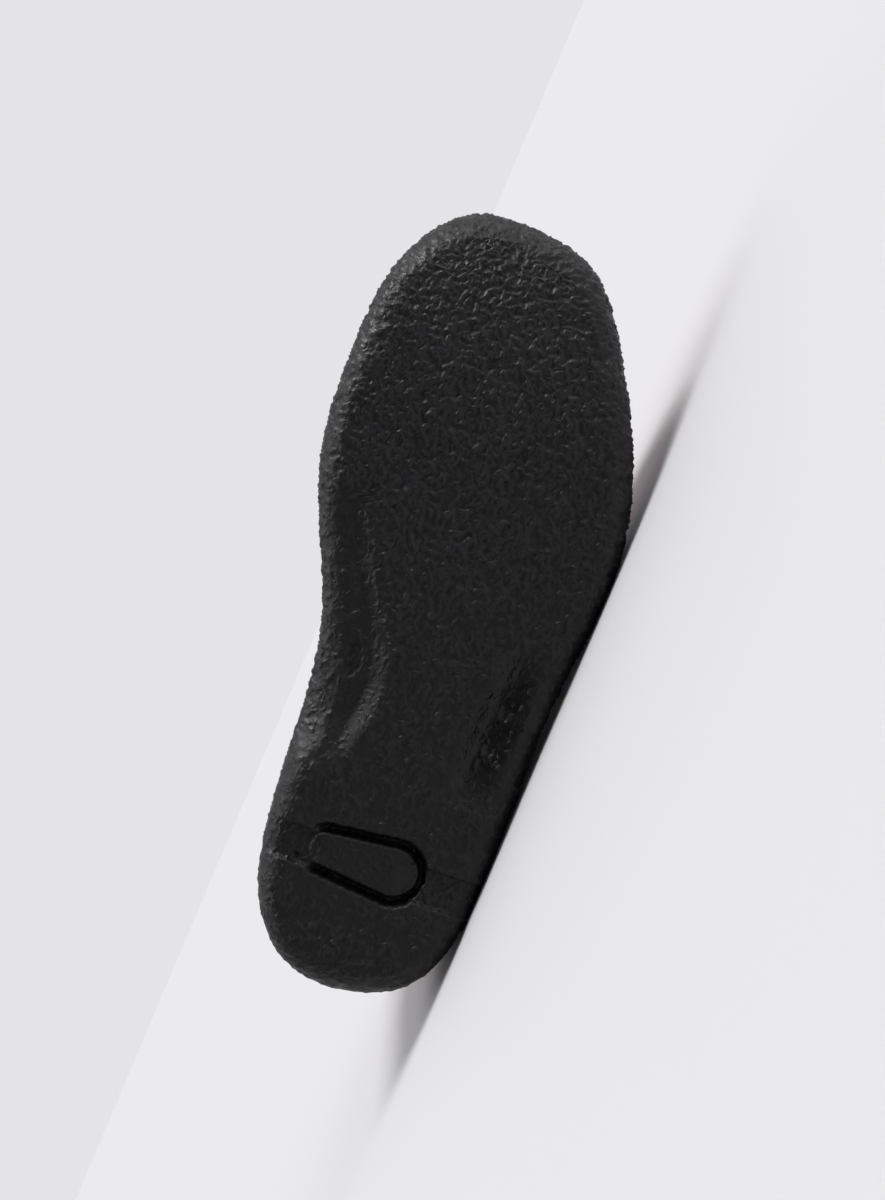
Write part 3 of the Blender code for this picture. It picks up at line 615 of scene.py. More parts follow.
def upper_surface(u, v):
    """Points of the upper at share u round the feather edge and share v of the way to the topline."""
    u, v = np.broadcast_arrays(np.asarray(u, float), np.asarray(v, float))
    foot, out = outline(u, FEATHER_INSET)
    start = np.concatenate([foot, (seat_height(foot[..., 0]) + FIT_GAP)[..., None]], -1)
    out = np.concatenate([out, np.zeros_like(u)[..., None]], -1)
    up = np.array([0.0, 0.0, 1.0])
    table = stations(u)
    top = table[..., :3]
    rise, lean, reach, drop = (table[..., i : i + 1] for i in range(3, 7))
    low = start + up * rise + out * lean
    high = top + out * reach - up * drop
    v = v[..., None]
    w = 1 - v
    return w**3 * start + 3 * w * w * v * low + 3 * w * v * v * high + v**3 * top


def normals_of(surface, a, b, step=SMALL_STEP):
    """Outward unit normals of surface(a, b) by small differences."""
    across = surface(a + step, b) - surface(a - step, b)
    along = surface(a, b + step) - surface(a, b - step)
    return unit(np.cross(across, along))


def band_share(u, width):
    """The v that lies width below the topline."""
    high = upper_surface(u, 1.0)
    low = upper_surface(u, 1 - TOP_STRETCH)
    return 1 - TOP_STRETCH * width / np.linalg.norm(high - low, axis=-1)


def offset_surface(u, v, offset):
    """Points of the upper at (u, v), moved out by offset along its normals."""
    normal = normals_of(upper_surface, u, np.clip(v, EDGE_MARGIN, 1 - EDGE_MARGIN))
    return upper_surface(u, v) + normal * np.asarray(offset)[..., None]


def collar_share(u):
    """1 along the collar, 0 along the throat."""
    share = 1 - np.abs(2 * (np.asarray(u) % 1.0) - 1)
    return smooth_step((share - COLLAR_START) / (COLLAR_FULL - COLLAR_START))


def collar_pad(u, v):
    """How far the padding swells the lining in below the collar."""
    below = (1 - v) / (1 - band_share(u, COLLAR_PAD_DEPTH))
    return COLLAR_PAD * collar_share(u) * np.sin(math.pi * np.clip(below, 0, 1)) ** 2


def throat_surface(f, s):
    """The surface across the throat: f from -1 on the inner side to 1 on the outer, s up it.

    Past f = 0.5 and -0.5 it is the upper itself, down to TONGUE_LAP below the throat's edge.
    Between them it bridges the gap with the same slope.
    """
    f, s = np.broadcast_arrays(np.asarray(f, float), np.asarray(s, float))
    ends = []
    for side in (1, -1):
        u = s / 2 if side > 0 else 1 - s / 2
        edge = upper_surface(u, 1.0)
        slope = unit(edge - upper_surface(u, 1 - SLOPE_STRETCH))
        lap = np.clip(side * f - 0.5, 0, None) * 2 * TONGUE_LAP
        ends.append((edge, slope, upper_surface(u, band_share(u, lap)), side * f > 0.5))
    (outer_edge, outer_slope, outer_lap, on_outer), (inner_edge, inner_slope, inner_lap, on_inner) = ends
    gap = np.linalg.norm(outer_edge - inner_edge, axis=-1, keepdims=True)
    t = np.clip(0.5 - f, 0, 1)[..., None]
    bridge = (
        outer_edge * (2 * t**3 - 3 * t**2 + 1)
        + outer_slope * gap * (t**3 - 2 * t**2 + t)
        + inner_edge * (3 * t**2 - 2 * t**3)
        - inner_slope * gap * (t**3 - t**2)
    )
    return np.where(on_outer[..., None], outer_lap, np.where(on_inner[..., None], inner_lap, bridge))


def eyelet_shares():
    """The share s of each eyelet pair, evenly spaced up the throat."""
    s = np.linspace(EYELET_FIRST, EYELET_LAST, EYELET_LINE_SAMPLES)
    run = run_lengths(upper_surface(s / 2, band_share(s / 2, EYELET_SETBACK)))
    return np.interp(np.linspace(0, run[-1], EYELET_PAIRS), run, s)


# The lying pose


def lying_matrix():
    """The move from the standing shoe to the row's frame, from the record's two tread mounts."""
    mounts = {m["name"]: m for m in frame["record"]["mounts"]}
    heel = Vector(mounts["heel_tread"]["pos_m"])
    x = (Vector(mounts["forefoot_tread"]["pos_m"]) - heel).normalized()
    z = -Vector(mounts["heel_tread"]["axis"]).normalized()
    y = z.cross(x).normalized()
    turn = Matrix((x, y, z)).transposed()
    return Matrix.Translation(heel - turn @ Vector(HEEL_MOUNT)) @ turn.to_4x4()


LYING = lying_matrix()
LYING_TURN = np.array(LYING.to_3x3())
LYING_SHIFT = np.array(LYING.translation)


def laid(points):
    """Points of the standing shoe, moved to where it lies."""
    return np.asarray(points) @ LYING_TURN.T + LYING_SHIFT


# Meshes


def closed_mesh(name, places, faces, marks=None):
    """A mesh with its doubled points merged and its faces turned out. marks are named values at its
    points, for the material to read."""
    mesh = bpy.data.meshes.new(name)
    mesh.from_pydata(places.tolist(), [], faces)
    for mark, values in (marks or {}).items():
        layer = mesh.attributes.new(mark, "FLOAT", "POINT")
        layer.data.foreach_set("value", np.asarray(values, np.float32))
    bm = bmesh.new()
    bm.from_mesh(mesh)
    bmesh.ops.remove_doubles(bm, verts=bm.verts, dist=MERGE_DISTANCE)
    bmesh.ops.recalc_face_normals(bm, faces=bm.faces)
    bm.to_mesh(mesh)
    bm.free()
    return mesh


def mesh_piece(name, points, faces, material, nodes=(), marks=None):
    """A piece of the object from standing points. What would sink below the floor lies flat on it."""
    places = laid(points)
    places[:, 2] = np.maximum(places[:, 2], 0.0)
    mesh = closed_mesh(name, places, faces, marks)
    mesh.shade_smooth()
    mesh.materials.append(material)
    obj = bpy.data.objects.new(name, mesh)
    bpy.context.scene.collection.objects.link(obj)
    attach(obj, "root")
    if nodes:
        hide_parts(*nodes)
    return obj


def read_all(items, name, width=1, kind=float):
    """One value of every item of a mesh, or a row of width numbers of each."""
    values = np.zeros(len(items) * width, kind)
    items.foreach_get(name, values)
    return values.reshape(-1, width) if width > 1 else values


def over_seat(spots, lift):
    """Places at the given height over the sole's upper face."""
    return np.column_stack([spots, seat_height(spots[:, 0]) + lift])


def turn_angles(sides):
    return np.arange(sides) * 2 * math.pi / sides


def ring_faces(first, second, count):
    """Quads between two closed rows of count points that start at first and second."""
    i = np.arange(count)
    j = (i + 1) % count
    return np.column_stack([first + i, first + j, second + j, second + i]).tolist()


def stack_faces(rows, count, base=0):
    """Quads between closed rows of count points, each row and the next, the first of them at base."""
    faces = []
    for k in range(rows - 1):
        faces += ring_faces(base + k * count, base + (k + 1) * count, count)
    return faces


def looped_rings(rings):
    """Points and faces of a solid made of closed rings, the last joined to the first."""
    count = len(rings[0])
    last = (len(rings) - 1) * count
    return np.vstack(rings), stack_faces(len(rings), count) + ring_faces(last, 0, count)


def grid_faces(rows, columns, base=0):
    """Quads of a grid of points, row by row."""
    index = base + np.arange(rows * columns).reshape(rows, columns)
    corners = (index[:-1, :-1], index[:-1, 1:], index[1:, 1:], index[1:, :-1])
    return np.stack([c.ravel() for c in corners], -1).tolist()


def cross_lines(ring, first, base, cross):
    """Places and faces that fill a ring by lines across it, each of cross steps, from a point to the
    one as far round the other way. The ring's points count from first, and the new ones from base."""
    count = len(ring)
    share = np.arange(1, cross) / cross
    spots = []
    lines = [np.full(cross + 1, first)]
    for i in range(1, count // 2):
        spots.append(ring[i, :2] + (ring[count - i, :2] - ring[i, :2]) * share[:, None])
        new = base + (i - 1) * (cross - 1) + np.arange(cross - 1)
        lines.append(np.concatenate([[first + i], new, [first + count - i]]))
    lines.append(np.full(cross + 1, first + count // 2))
    faces = []
    for here, there in zip(lines, lines[1:]):
        strip = np.column_stack([here[:-1], here[1:], there[1:], there[:-1]])
        faces += [list(dict.fromkeys(face)) for face in strip.tolist()]
    return np.vstack(spots), faces


def turned(place, axis, profile, sides):
    """Points and faces of a ring turned from a closed profile of (radius, height) about axis at place."""
    turn = np.array(Vector(axis).to_track_quat("Z", "Y").to_matrix())
    angles = turn_angles(sides)
    rings = []
    for radius, height in profile:
        ring = np.column_stack([radius * np.cos(angles), radius * np.sin(angles), np.full(sides, height)])
        rings.append(np.asarray(place) + ring @ turn.T)
    return looped_rings(rings)


def tube(path, wide, thick, width, thickness, sides):
    """Points and faces of a flattened tube with closed ends, and each point's place across it."""
    angles = turn_angles(sides)
    flat = np.sign(np.cos(angles)) * np.abs(np.cos(angles)) ** LACE_SQUARENESS
    around = wide[:, None] * (flat[None, :, None] * width[:, None, None] / 2)
    around = around + thick[:, None] * (np.sin(angles)[None, :, None] * thickness[:, None, None] / 2)
    points = (path[:, None] + around).reshape(-1, 3)
    faces = stack_faces(len(path), sides)
    faces.append(list(range(sides)))
    faces.append(list(range(len(points) - sides, len(points))))
    return points, faces, np.tile(flat, len(path))


def joined(parts):
    """Several (points, faces) as one."""
    points = []
    faces = []
    base = 0
    for some, some_faces in parts:
        points.append(some)
        faces += [[base + i for i in face] for face in some_faces]
        base += len(some)
    return np.vstack(points), faces


def cut(obj, tool):
    """Cuts tool out of obj for good."""
    modifier = obj.modifiers.new("cut", "BOOLEAN")
    modifier.operation = "DIFFERENCE"
    modifier.solver = "MANIFOLD"
    modifier.object = tool
    evaluated = obj.evaluated_get(bpy.context.evaluated_depsgraph_get())
    mesh = bpy.data.meshes.new_from_object(evaluated)
    obj.modifiers.clear()
    obj.data = mesh
    mesh.shade_smooth()
    mesh.set_sharp_from_angle(angle=CUT_SHARP)


# Materials


def new_material(name, colour, roughness, metallic=0.0):
    """A Principled material, its node tree and its shader."""
    made = bpy.data.materials.new(name)
    made.use_nodes = True
    shader = made.node_tree.nodes["Principled BSDF"]
    shader.inputs["Base Color"].default_value = (*colour, 1.0)
    shader.inputs["Roughness"].default_value = roughness
    shader.inputs["Metallic"].default_value = metallic
    return made, made.node_tree, shader


def add_node(tree, kind, values=None, **settings):
    """A node with its settings and its sockets' values, a socket being a name or a number."""
    node = tree.nodes.new(kind)
    for name, value in settings.items():
        setattr(node, name, value)
    for socket, value in (values or {}).items():
        if isinstance(value, bpy.types.NodeSocket):
            tree.links.new(value, node.inputs[socket])
        else:
            node.inputs[socket].default_value = value
    return node


def place_vector(tree):
    """Places on the object, for patterns that are fixed to it."""
    return add_node(tree, "ShaderNodeTexCoord").outputs["Object"]


def noise_pattern(tree, vector, size, detail=3.0, roughness=0.5, distortion=0.0, noise_type="FBM"):
    """A noise whose lumps are about size metres across."""
    values = {"Vector": vector, "Scale": 1 / size, "Detail": detail, "Roughness": roughness}
    values["Distortion"] = distortion
    return add_node(tree, "ShaderNodeTexNoise", values, noise_type=noise_type).outputs[0]


def ranged(tree, value, low, high, from_low=0.3, from_high=0.7):
    """value taken from its own range to low..high."""
    values = {"Value": value, "From Min": from_low, "From Max": from_high, "To Min": low, "To Max": high}
    return add_node(tree, "ShaderNodeMapRange", values).outputs[0]


def mixed_colour(tree, share, first, second):
    """The colour first where share is 0 and second where it is 1."""
    node = add_node(tree, "ShaderNodeValToRGB", {"Fac": share})
    node.color_ramp.elements[0].color = (*first, 1.0)
    node.color_ramp.elements[1].color = (*second, 1.0)
    return node.outputs["Color"]


def bumped(tree, shader, heights):
    """Bumps one on another: each a height pattern with its depth in metres and strength."""
    normal = None
    for height, depth, strength in heights:
        values = {"Height": height, "Distance": depth, "Strength": strength}
        if normal:
            values["Normal"] = normal
        normal = add_node(tree, "ShaderNodeBump", values).outputs["Normal"]
    tree.links.new(normal, shader.inputs["Normal"])


def mark_value(tree, name):
    """The named values at the points of a piece."""
    return add_node(tree, "ShaderNodeAttribute", attribute_name=name).outputs["Fac"]


def maths(tree, operation, *values):
    return add_node(tree, "ShaderNodeMath", dict(enumerate(values)), operation=operation).outputs[0]


def scaled(colour, share):
    return tuple(c * share for c in colour)


def toned(tree, shader, share, colour, dark, light):
    """Gives the surface dark times colour where share is 0 and light times colour where it is 1."""
    made = mixed_colour(tree, share, scaled(colour, dark), scaled(colour, light))
    tree.links.new(made, shader.inputs["Base Color"])


def crepe_rubber():
    """Black crepe rubber: matt in its valleys and shiny on its ridges, whose colour is made lighter, partly
    as wear and partly as a painted highlight.
    """
    made, tree, shader = new_material("crepe_rubber", CREPE, 0.5)
    where = place_vector(tree)
    ridge = mark_value(tree, "ridge")
    # Ridge tops are lighter in colour: partly wear, partly a painted highlight of the raking light.
    ridge_wear_and_highlight = maths(tree, "MULTIPLY", ridge, noise_pattern(tree, where, 0.012))
    toned(tree, shader, ridge_wear_and_highlight, CREPE, 0.6, 3.0)
    matt = ranged(tree, noise_pattern(tree, where, 0.004), 0.46, 0.62)
    matt = maths(tree, "MULTIPLY_ADD", mark_value(tree, "sunk"), -SUNK_GLOSS, matt)
    matt = maths(tree, "MULTIPLY_ADD", ridge, -RIDGE_GLOSS, matt)
    tree.links.new(matt, shader.inputs["Roughness"])
    shader.inputs["Specular IOR Level"].default_value = 0.28
    fold = noise_pattern(tree, where, 0.0022, 2.0, distortion=0.6, noise_type="RIDGED_MULTIFRACTAL")
    grain = noise_pattern(tree, where, 0.0006, 2.0)
    bumped(tree, shader, [(fold, 0.0006, 1.0), (grain, 0.00006, 0.5)])
    return made


def leather(name, colour, grain_size, roughness, coat=0.0):
    """Dyed grain leather: fine pebbles, pores, and a tone that wanders a little."""
    made, tree, shader = new_material(name, colour, roughness)
    where = place_vector(tree)
    tone = ranged(tree, noise_pattern(tree, where, 0.030, 4.0), 0.0, 1.0)
    toned(tree, shader, tone, colour, 0.80, 1.12)
    sheen = ranged(tree, noise_pattern(tree, where, 0.009), roughness - 0.06, roughness + 0.07)
    tree.links.new(sheen, shader.inputs["Roughness"])
    shader.inputs["Coat Weight"].default_value = coat
    shader.inputs["Coat Roughness"].default_value = 0.32
    values = {"Vector": where, "Scale": 1 / grain_size, "Randomness": 1.0}
    pebbles = add_node(tree, "ShaderNodeTexVoronoi", values, feature="SMOOTH_F1").outputs["Distance"]
    folds = noise_pattern(tree, where, grain_size * 5, 4.0, roughness=0.6, distortion=0.4)
    bumped(tree, shader, [(folds, 0.00025, 0.25), (pebbles, -0.00016, 0.5)])
    return made


def woven_cotton():
    """Flat braid: strands that cross on two slants, from places along and across the lace."""
    made, tree, shader = new_material("woven_cotton", LACE_RED, 0.8)
    along = mark_value(tree, "along")
    across = mark_value(tree, "across")
    strands = []
    for slant in (1.0, -1.0):
        tilted = maths(tree, "MULTIPLY_ADD", across, slant, along)
        strands.append(maths(tree, "SINE", maths(tree, "MULTIPLY", tilted, 2 * math.pi / BRAID_PITCH)))
    weave = maths(tree, "MAXIMUM", *strands)
    toned(tree, shader, ranged(tree, weave, 0.0, 1.0, -0.6, 1.0), LACE_RED, 0.45, 1.15)
    fibres = noise_pattern(tree, place_vector(tree), 0.00025, 2.0)
    bumped(tree, shader, [(weave, 0.00018, 0.8), (fibres, 0.00008, 0.5)])
    shader.inputs["Sheen Weight"].default_value = 0.25
    return made


def enamelled_metal():
    """Dark enamel on brass, a little uneven and rubbed."""
    made, tree, shader = new_material("enamelled_metal", EYELET_GREY, 0.3, 0.9)
    where = place_vector(tree)
    tone = ranged(tree, noise_pattern(tree, where, 0.0015, 4.0), 0.0, 1.0)
    toned(tree, shader, tone, EYELET_GREY, 0.75, 1.5)
    rubbed = ranged(tree, noise_pattern(tree, where, 0.0008), 0.24, 0.42)
    tree.links.new(rubbed, shader.inputs["Roughness"])
    shader.inputs["Coat Weight"].default_value = 0.3
    bumped(tree, shader, [(noise_pattern(tree, where, 0.0006), 0.00004, 0.3)])
    return made


def waxed_thread():
    """Sewing thread with its twist."""
    made, tree, shader = new_material("red_thread", THREAD_RED, 0.6)
    twist = noise_pattern(tree, place_vector(tree), 0.0004, 2.0)
    toned(tree, shader, twist, THREAD_RED, 0.7, 1.25)
    bumped(tree, shader, [(twist, 0.00008, 0.6)])
    return made


# Sole


def pad_distance(x, y):
    """Distance from the edge of the oval pad, less than 0 inside it."""
    turn = np.array(Matrix.Rotation(-CHANNEL_SLANT, 2))
    across = (x - PAD_ALONG) * turn[0, 0] + y * turn[0, 1]
    along = (x - PAD_ALONG) * turn[1, 0] + y * turn[1, 1]
    length = PAD_LATERAL_END - PAD_MEDIAL_END
    lean = (PAD_LATERAL_RADIUS - PAD_MEDIAL_RADIUS) / length
    along = along - PAD_MEDIAL_END
    across = np.abs(across)
    steep = math.sqrt(1 - lean * lean)
    k = along * steep - across * lean
    flank = across * steep - along * lean - PAD_MEDIAL_RADIUS
    medial = np.hypot(across, along) - PAD_MEDIAL_RADIUS
    lateral = np.hypot(across, along - length) - PAD_LATERAL_RADIUS
    return np.where(k < 0, medial, np.where(k > length * steep, lateral, flank))


def lumps(points, size):
    """Smooth noise at points, from about -1 to 1, with lumps of about size."""
    return np.array([noise.noise(Vector(p) / size) for p in points])


def heel_relief(x, y):
    """How far the channel, the moat and the sunk pad lift the underside of the heel."""
    off = np.abs(x + y * math.tan(CHANNEL_SLANT) - CHANNEL_CENTRE) / (CHANNEL_WIDTH / 2)
    from_pad = np.abs(y - 0.5 * (PAD_LATERAL_END + PAD_MEDIAL_END))
    reach = smooth_step((from_pad - CHANNEL_START) / CHANNEL_FADE)
    channel = CHANNEL_DEPTH * smooth_step((1 + CHANNEL_WALL / 2 - off) / CHANNEL_WALL) * reach
    d = pad_distance(x, y)
    near = d < 2 * MOAT_WIDTH
    places = np.column_stack([x[near], y[near], 0 * y[near]])
    jagged = np.zeros_like(d)
    jagged[near] = MOAT_JAGS * lumps(places, MOAT_LUMP_SIZE)
    deep = np.full_like(d, MOAT_DEPTH)
    deep[near] += MOAT_ROUGH * lumps(places + (0, 0, MOAT_DEPTH), MOAT_LUMP_SIZE)
    tip = smooth_step((y - PAD_MEDIAL_END + MOAT_TIP_START) / MOAT_TIP_FADE)
    inner_wall = smooth_step((d + MOAT_INNER_EDGE) / MOAT_WALL)
    outer_wall = smooth_step((MOAT_WIDTH + jagged - d) / MOAT_WALL)
    moat = deep * inner_wall * outer_wall * (MOAT_TIP_SHARE + (1 - MOAT_TIP_SHARE) * tip)
    sunk = PAD_SINK * smooth_step((PAD_EDGE - d) / (2 * PAD_EDGE))
    rim = PAD_RIM_HEIGHT * np.exp(-(((d + PAD_RIM_INSET) / PAD_RIM_HALF_WIDTH) ** 2)) * (1 - tip)
    return np.maximum(np.maximum(channel, moat), sunk) - rim


def mark_relief(x, y):
    """How far the bare oval in the inner hollow and the dimples lift the underside."""
    off = np.hypot((x - OVAL_PLACE[0]) / OVAL_HALF_SIZE[0], (y - OVAL_PLACE[1]) / OVAL_HALF_SIZE[1])
    relief = OVAL_DEPTH * smooth_step((1 - off) / OVAL_WALL)
    for along, out, radius, depth in DIMPLES:
        relief = relief + depth * smooth_step(DIMPLE_REACH - np.hypot(x - along, y - out) / radius)
    return relief


def point_areas(mesh):
    """The area of surface that belongs to each point of a mesh."""
    corners = read_all(mesh.loops, "vertex_index", kind=int)
    sizes = read_all(mesh.polygons, "loop_total", kind=int)
    areas = read_all(mesh.polygons, "area")
    return np.bincount(corners, np.repeat(areas / sizes, sizes), len(mesh.vertices))


def wrinkles(points, normals, density, pull):
    """Heights, from 0 to 1, of many short raised wrinkles scattered by density and turned by pull."""
    rng = np.random.default_rng(WRINKLE_SEED)
    tree = KDTree(len(points))
    for i, p in enumerate(points):
        tree.insert(p, i)
    tree.balance()
    height = np.zeros(len(points))
    for c in rng.choice(len(points), WRINKLES, p=density / density.sum()):
        half_length = rng.uniform(*WRINKLE_HALF_LENGTH)
        half_width = rng.uniform(*WRINKLE_HALF_WIDTH)
        bend = rng.normal(0, WRINKLE_BEND)
        tall = rng.uniform(*WRINKLE_TALL)
        along = unit(np.cross(normals[c], rng.normal(size=3) + pull[c]))
        side = np.cross(normals[c], along)
        near = np.array([i for _, i, _ in tree.find_range(points[c], half_length + half_width)])
        offset = points[near] - points[c]
        a = offset @ along
        b = offset @ side - bend * a * a
        ends = np.clip(1 - (a / (half_length + half_width)) ** 2, 0, None)
        height[near] = np.maximum(height[near], tall * ends * np.exp(-((b / half_width) ** 2)))
    return height


def sole_surface():
    """Points and faces of the sole without its crepe: rings up its side, lines across its two faces."""
    u = np.arange(SOLE_COLUMNS) / SOLE_COLUMNS
    rings = []
    for angle in np.linspace(0, math.pi / 2, ROUND_RINGS):
        spot, height, kept = edge_ring(u, angle)
        x, y = spot.T
        lift = hollow_depth(x, y) * kept + heel_relief(x, y) * math.cos(angle)
        rings.append(np.column_stack([spot, height + lift]))
    low = rings[-1]
    high = over_seat(outline(u, SIDE_LEAN)[0], -TOP_ROUND)
    for k in range(1, SIDE_RINGS + 1):
        rings.append(low + (high - low) * k / SIDE_RINGS)
    for angle in TOP_ROUND_ANGLES:
        spot, _ = outline(u, SIDE_LEAN + TOP_ROUND * (1 - math.cos(angle)))
        rings.append(over_seat(spot, -TOP_ROUND * (1 - math.sin(angle))))
    total = len(rings) * SOLE_COLUMNS
    spots, tread_faces = cross_lines(rings[0], 0, total, SOLE_CROSS)
    x, y = spots.T
    z = tread_height(x) + hollow_depth(x, y) + heel_relief(x, y) + mark_relief(x, y)
    tread = np.column_stack([spots, z])
    spots, seat_faces = cross_lines(rings[-1], total - SOLE_COLUMNS, total + len(tread), SEAT_CROSS)
    faces = stack_faces(len(rings), SOLE_COLUMNS) + tread_faces + seat_faces
    return np.vstack(rings + [tread, over_seat(spots, 0.0)]), faces


def wrinkle_cover(x, y, z, edge):
    """How thickly the sole is wrinkled at (x, y, z), from 0 to 1. edge is 1 on its side, 0 on its tread."""
    cover = np.interp(x, *np.array(WRINKLE_ZONES).T)
    cover = np.maximum(cover, np.interp(x, *np.array(RIM_WRINKLE_ZONES).T) * edge)
    hollow = smooth_step(hollow_depth(x, y) / HOLLOW_CALM_DEPTH) * (1 - edge)
    cover *= 1 - HOLLOW_CALM * hollow
    by_pad = smooth_step((pad_distance(x, y) - MOAT_WIDTH * PAD_CALM_START) / MOAT_WIDTH)
    cover *= np.where(z < tread_height(x) + EDGE_ROUND, by_pad, 1.0)
    cover *= smooth_step((seat_height(x) - z) / SEAT_FADE)
    return cover


def build_sole():
    """The sole, with its crepe raised wrinkle by wrinkle."""
    points, faces = sole_surface()
    marks = {"ridge": np.zeros(len(points)), "sunk": np.zeros(len(points))}
    mesh = mesh_piece("sole_crepe", points, faces, crepe_rubber(), ["sole"], marks).data
    normals = read_all(mesh.vertex_normals, "vector", 3)
    where = read_all(mesh.vertices, "co", 3)
    x, y, z = ((where - LYING_SHIFT) @ LYING_TURN).T
    edge = smooth_step((z - tread_height(x)) / EDGE_ROUND)
    cover = wrinkle_cover(x, y, z, edge)
    slant = LYING_TURN @ (math.cos(TREAD_SLANT), math.sin(TREAD_SLANT), 0)
    pull = TREAD_PULL * (1 - edge)[:, None] * np.cross(slant, normals)
    pull += RIM_PULL * np.cross(normals, LYING_TURN[:, 2])
    ridge = wrinkles(where, normals, cover * point_areas(mesh), pull)
    ridge *= RIDGE_LEAST + (1 - RIDGE_LEAST) * cover
    bold = 1 + RIM_BOLD * edge
    swell = SWELL_HEIGHT * lumps(where, SWELL_SIZE) * cover
    rise = WRINKLE_HEIGHT * (ridge - WRINKLE_MIDDLE) * cover**COVER_POWER * bold + swell
    where = where + normals * rise[:, None]
    where[:, 2] = np.maximum(where[:, 2], 0.0)
    mesh.vertices.foreach_set("co", where.ravel())
    lens = smooth_step(LENS_GAIN * outer_hollow(x, y) / OUTER_HOLLOW_DEPTH)
    channel = np.clip(heel_relief(x, y) / CHANNEL_DEPTH, 0, 1)
    sunk = np.clip(CHANNEL_SHINE * channel + lens, 0, 1) * (1 - edge)
    for mark, values in (("ridge", ridge), ("sunk", sunk)):
        mesh.attributes[mark].data.foreach_set("value", values.astype(np.float32))
    mesh.update()


# Upper


def crease_depth(points):
    """How far the creases draw the upper in at points of it, in standing places."""
    depth = np.zeros(len(points))
    for _, stops, half_width, deep in CREASES:
        stops = np.array(stops)
        steps = np.linspace(0, len(stops) - 1, CREASE_SAMPLES)
        line = spline(np.arange(len(stops)), stops)(steps)
        line_points = upper_surface(line[:, 0], line[:, 1])
        apart = np.linalg.norm(points[:, None] - line_points[None], axis=-1)
        nearest = apart.argmin(axis=1)
        off = apart.min(axis=1) / half_width
        fade = np.sin(math.pi * (nearest + 0.5) / len(steps))
        trough = np.exp(-(off**2)) - CREASE_BULGE * np.exp(-((off - CREASE_BULGE_PLACE) ** 2))
        depth += deep * fade * trough
    return depth


def shell_relief(u, v):
    """How far the shell is drawn in at (u, v): its creases and its back seam, which end at the band."""
    flat = upper_surface(u, v)
    seam = BACK_SEAM_DEPTH * np.exp(-((flat[:, 1] / BACK_SEAM_HALF_WIDTH) ** 2))
    seam = seam * (flat[:, 0] < BACK_SEAM_END)
    below_band = smooth_step((band_share(u, BAND_WIDTH) - v) / BAND_FADE)
    return (crease_depth(flat) + seam) * below_band


def wall_solid(rows, shown, hidden):
    """Points and faces of one layer of the upper's wall, its shown face in rows steps up to the edge.
    shown gives that face's depth below the outer surface at (u, v), and hidden is the other's."""
    u = UPPER_SHARES
    top = band_share(u, EDGE_DROP)
    rings = []
    for k in range(rows + 1):
        v = top * k / rows
        rings.append(offset_surface(u, v, -shown(u, v)))
    for k in range(HIDDEN_ROWS + 1):
        rings.append(offset_surface(u, top * (1 - k / HIDDEN_ROWS), np.full_like(u, -hidden)))
    return looped_rings(rings)


def build_shell():
    """The outer leather, with its creases and back seam."""
    points, faces = wall_solid(SHELL_ROWS, shell_relief, SHELL_THICKNESS)
    red = leather("red_leather", LEATHER_RED, grain_size=0.0011, roughness=0.42, coat=0.15)
    return mesh_piece("upper_shell", points, faces, red, ["upper"])


def lining_depth(u, v):
    return WALL + collar_pad(u, v)


def build_lining():
    """The soft lining, swollen by the padding below the collar."""
    points, faces = wall_solid(LINING_ROWS, lining_depth, SHELL_THICKNESS + LINING_GAP)
    tan = leather("lining_leather", LINING_TAN, grain_size=0.0008, roughness=0.62)
    lining = mesh_piece("upper_lining", points, faces, tan, ["upper"])
    return lining


def band_profile():
    """The eyestay and collar band in section: distance below the topline and height over the upper.
    It runs up the outside, rolls over the edge, turns in, and comes back along the wall."""
    middle = -WALL / 2
    outside = WALL / 2 + BAND_STEP
    inside = middle - outside
    hugging = WALL / 2 + BAND_GAP
    rows = [(BAND_WIDTH, BAND_GAP)]
    rows += [(BAND_WIDTH - back, share * BAND_STEP) for back, share in BAND_LIP[:-1]]
    for below in np.linspace(BAND_WIDTH - BAND_LIP[-1][0], BAND_ROLL_DROP, BAND_ROWS):
        rows.append((below, BAND_STEP))
    for angle in np.linspace(0, math.pi, ROLL_STEPS)[1:]:
        rows.append((BAND_ROLL_DROP - outside * math.sin(angle), middle + outside * math.cos(angle)))
    rows.append((0.5 * (BAND_ROLL_DROP + BAND_TURN_IN), inside))
    rows += [(BAND_TURN_IN - back, inside + share * BAND_STEP) for back, share in BAND_INNER_LIP]
    rows.append((BAND_TURN_IN, middle - hugging))
    for angle in np.linspace(math.pi, 0, ROLL_STEPS):
        rows.append((BAND_ROLL_DROP - hugging * math.sin(angle), middle + hugging * math.cos(angle)))
    for share in BAND_BACK_SHARES:
        rows.append((BAND_ROLL_DROP + (BAND_WIDTH - BAND_ROLL_DROP) * share, BAND_GAP))
    return rows


def build_band():
    """The eyestay and collar band, which follows the padding where it turns in."""
    u = UPPER_SHARES
    rings = []
    for below, height in band_profile():
        v = band_share(u, below)
        inward = smooth_step(-height / WALL)
        rings.append(offset_surface(u, v, height - inward * collar_pad(u, v)))
    points, faces = looped_rings(rings)
    red = leather("band_leather", BAND_RED, grain_size=0.0010, roughness=0.40, coat=0.18)
    return mesh_piece("upper_band", points, faces, red, ["upper"])


def eyelet_places():
    """Each eyelet's node, place and axis."""
    for number, s in enumerate(eyelet_shares(), 1):
        for side, u in (("lateral", s / 2), ("medial", 1 - s / 2)):
            v = band_share(u, EYELET_SETBACK)
            yield f"eyelet_{side}_{number}", upper_surface(u, v), normals_of(upper_surface, u, v)


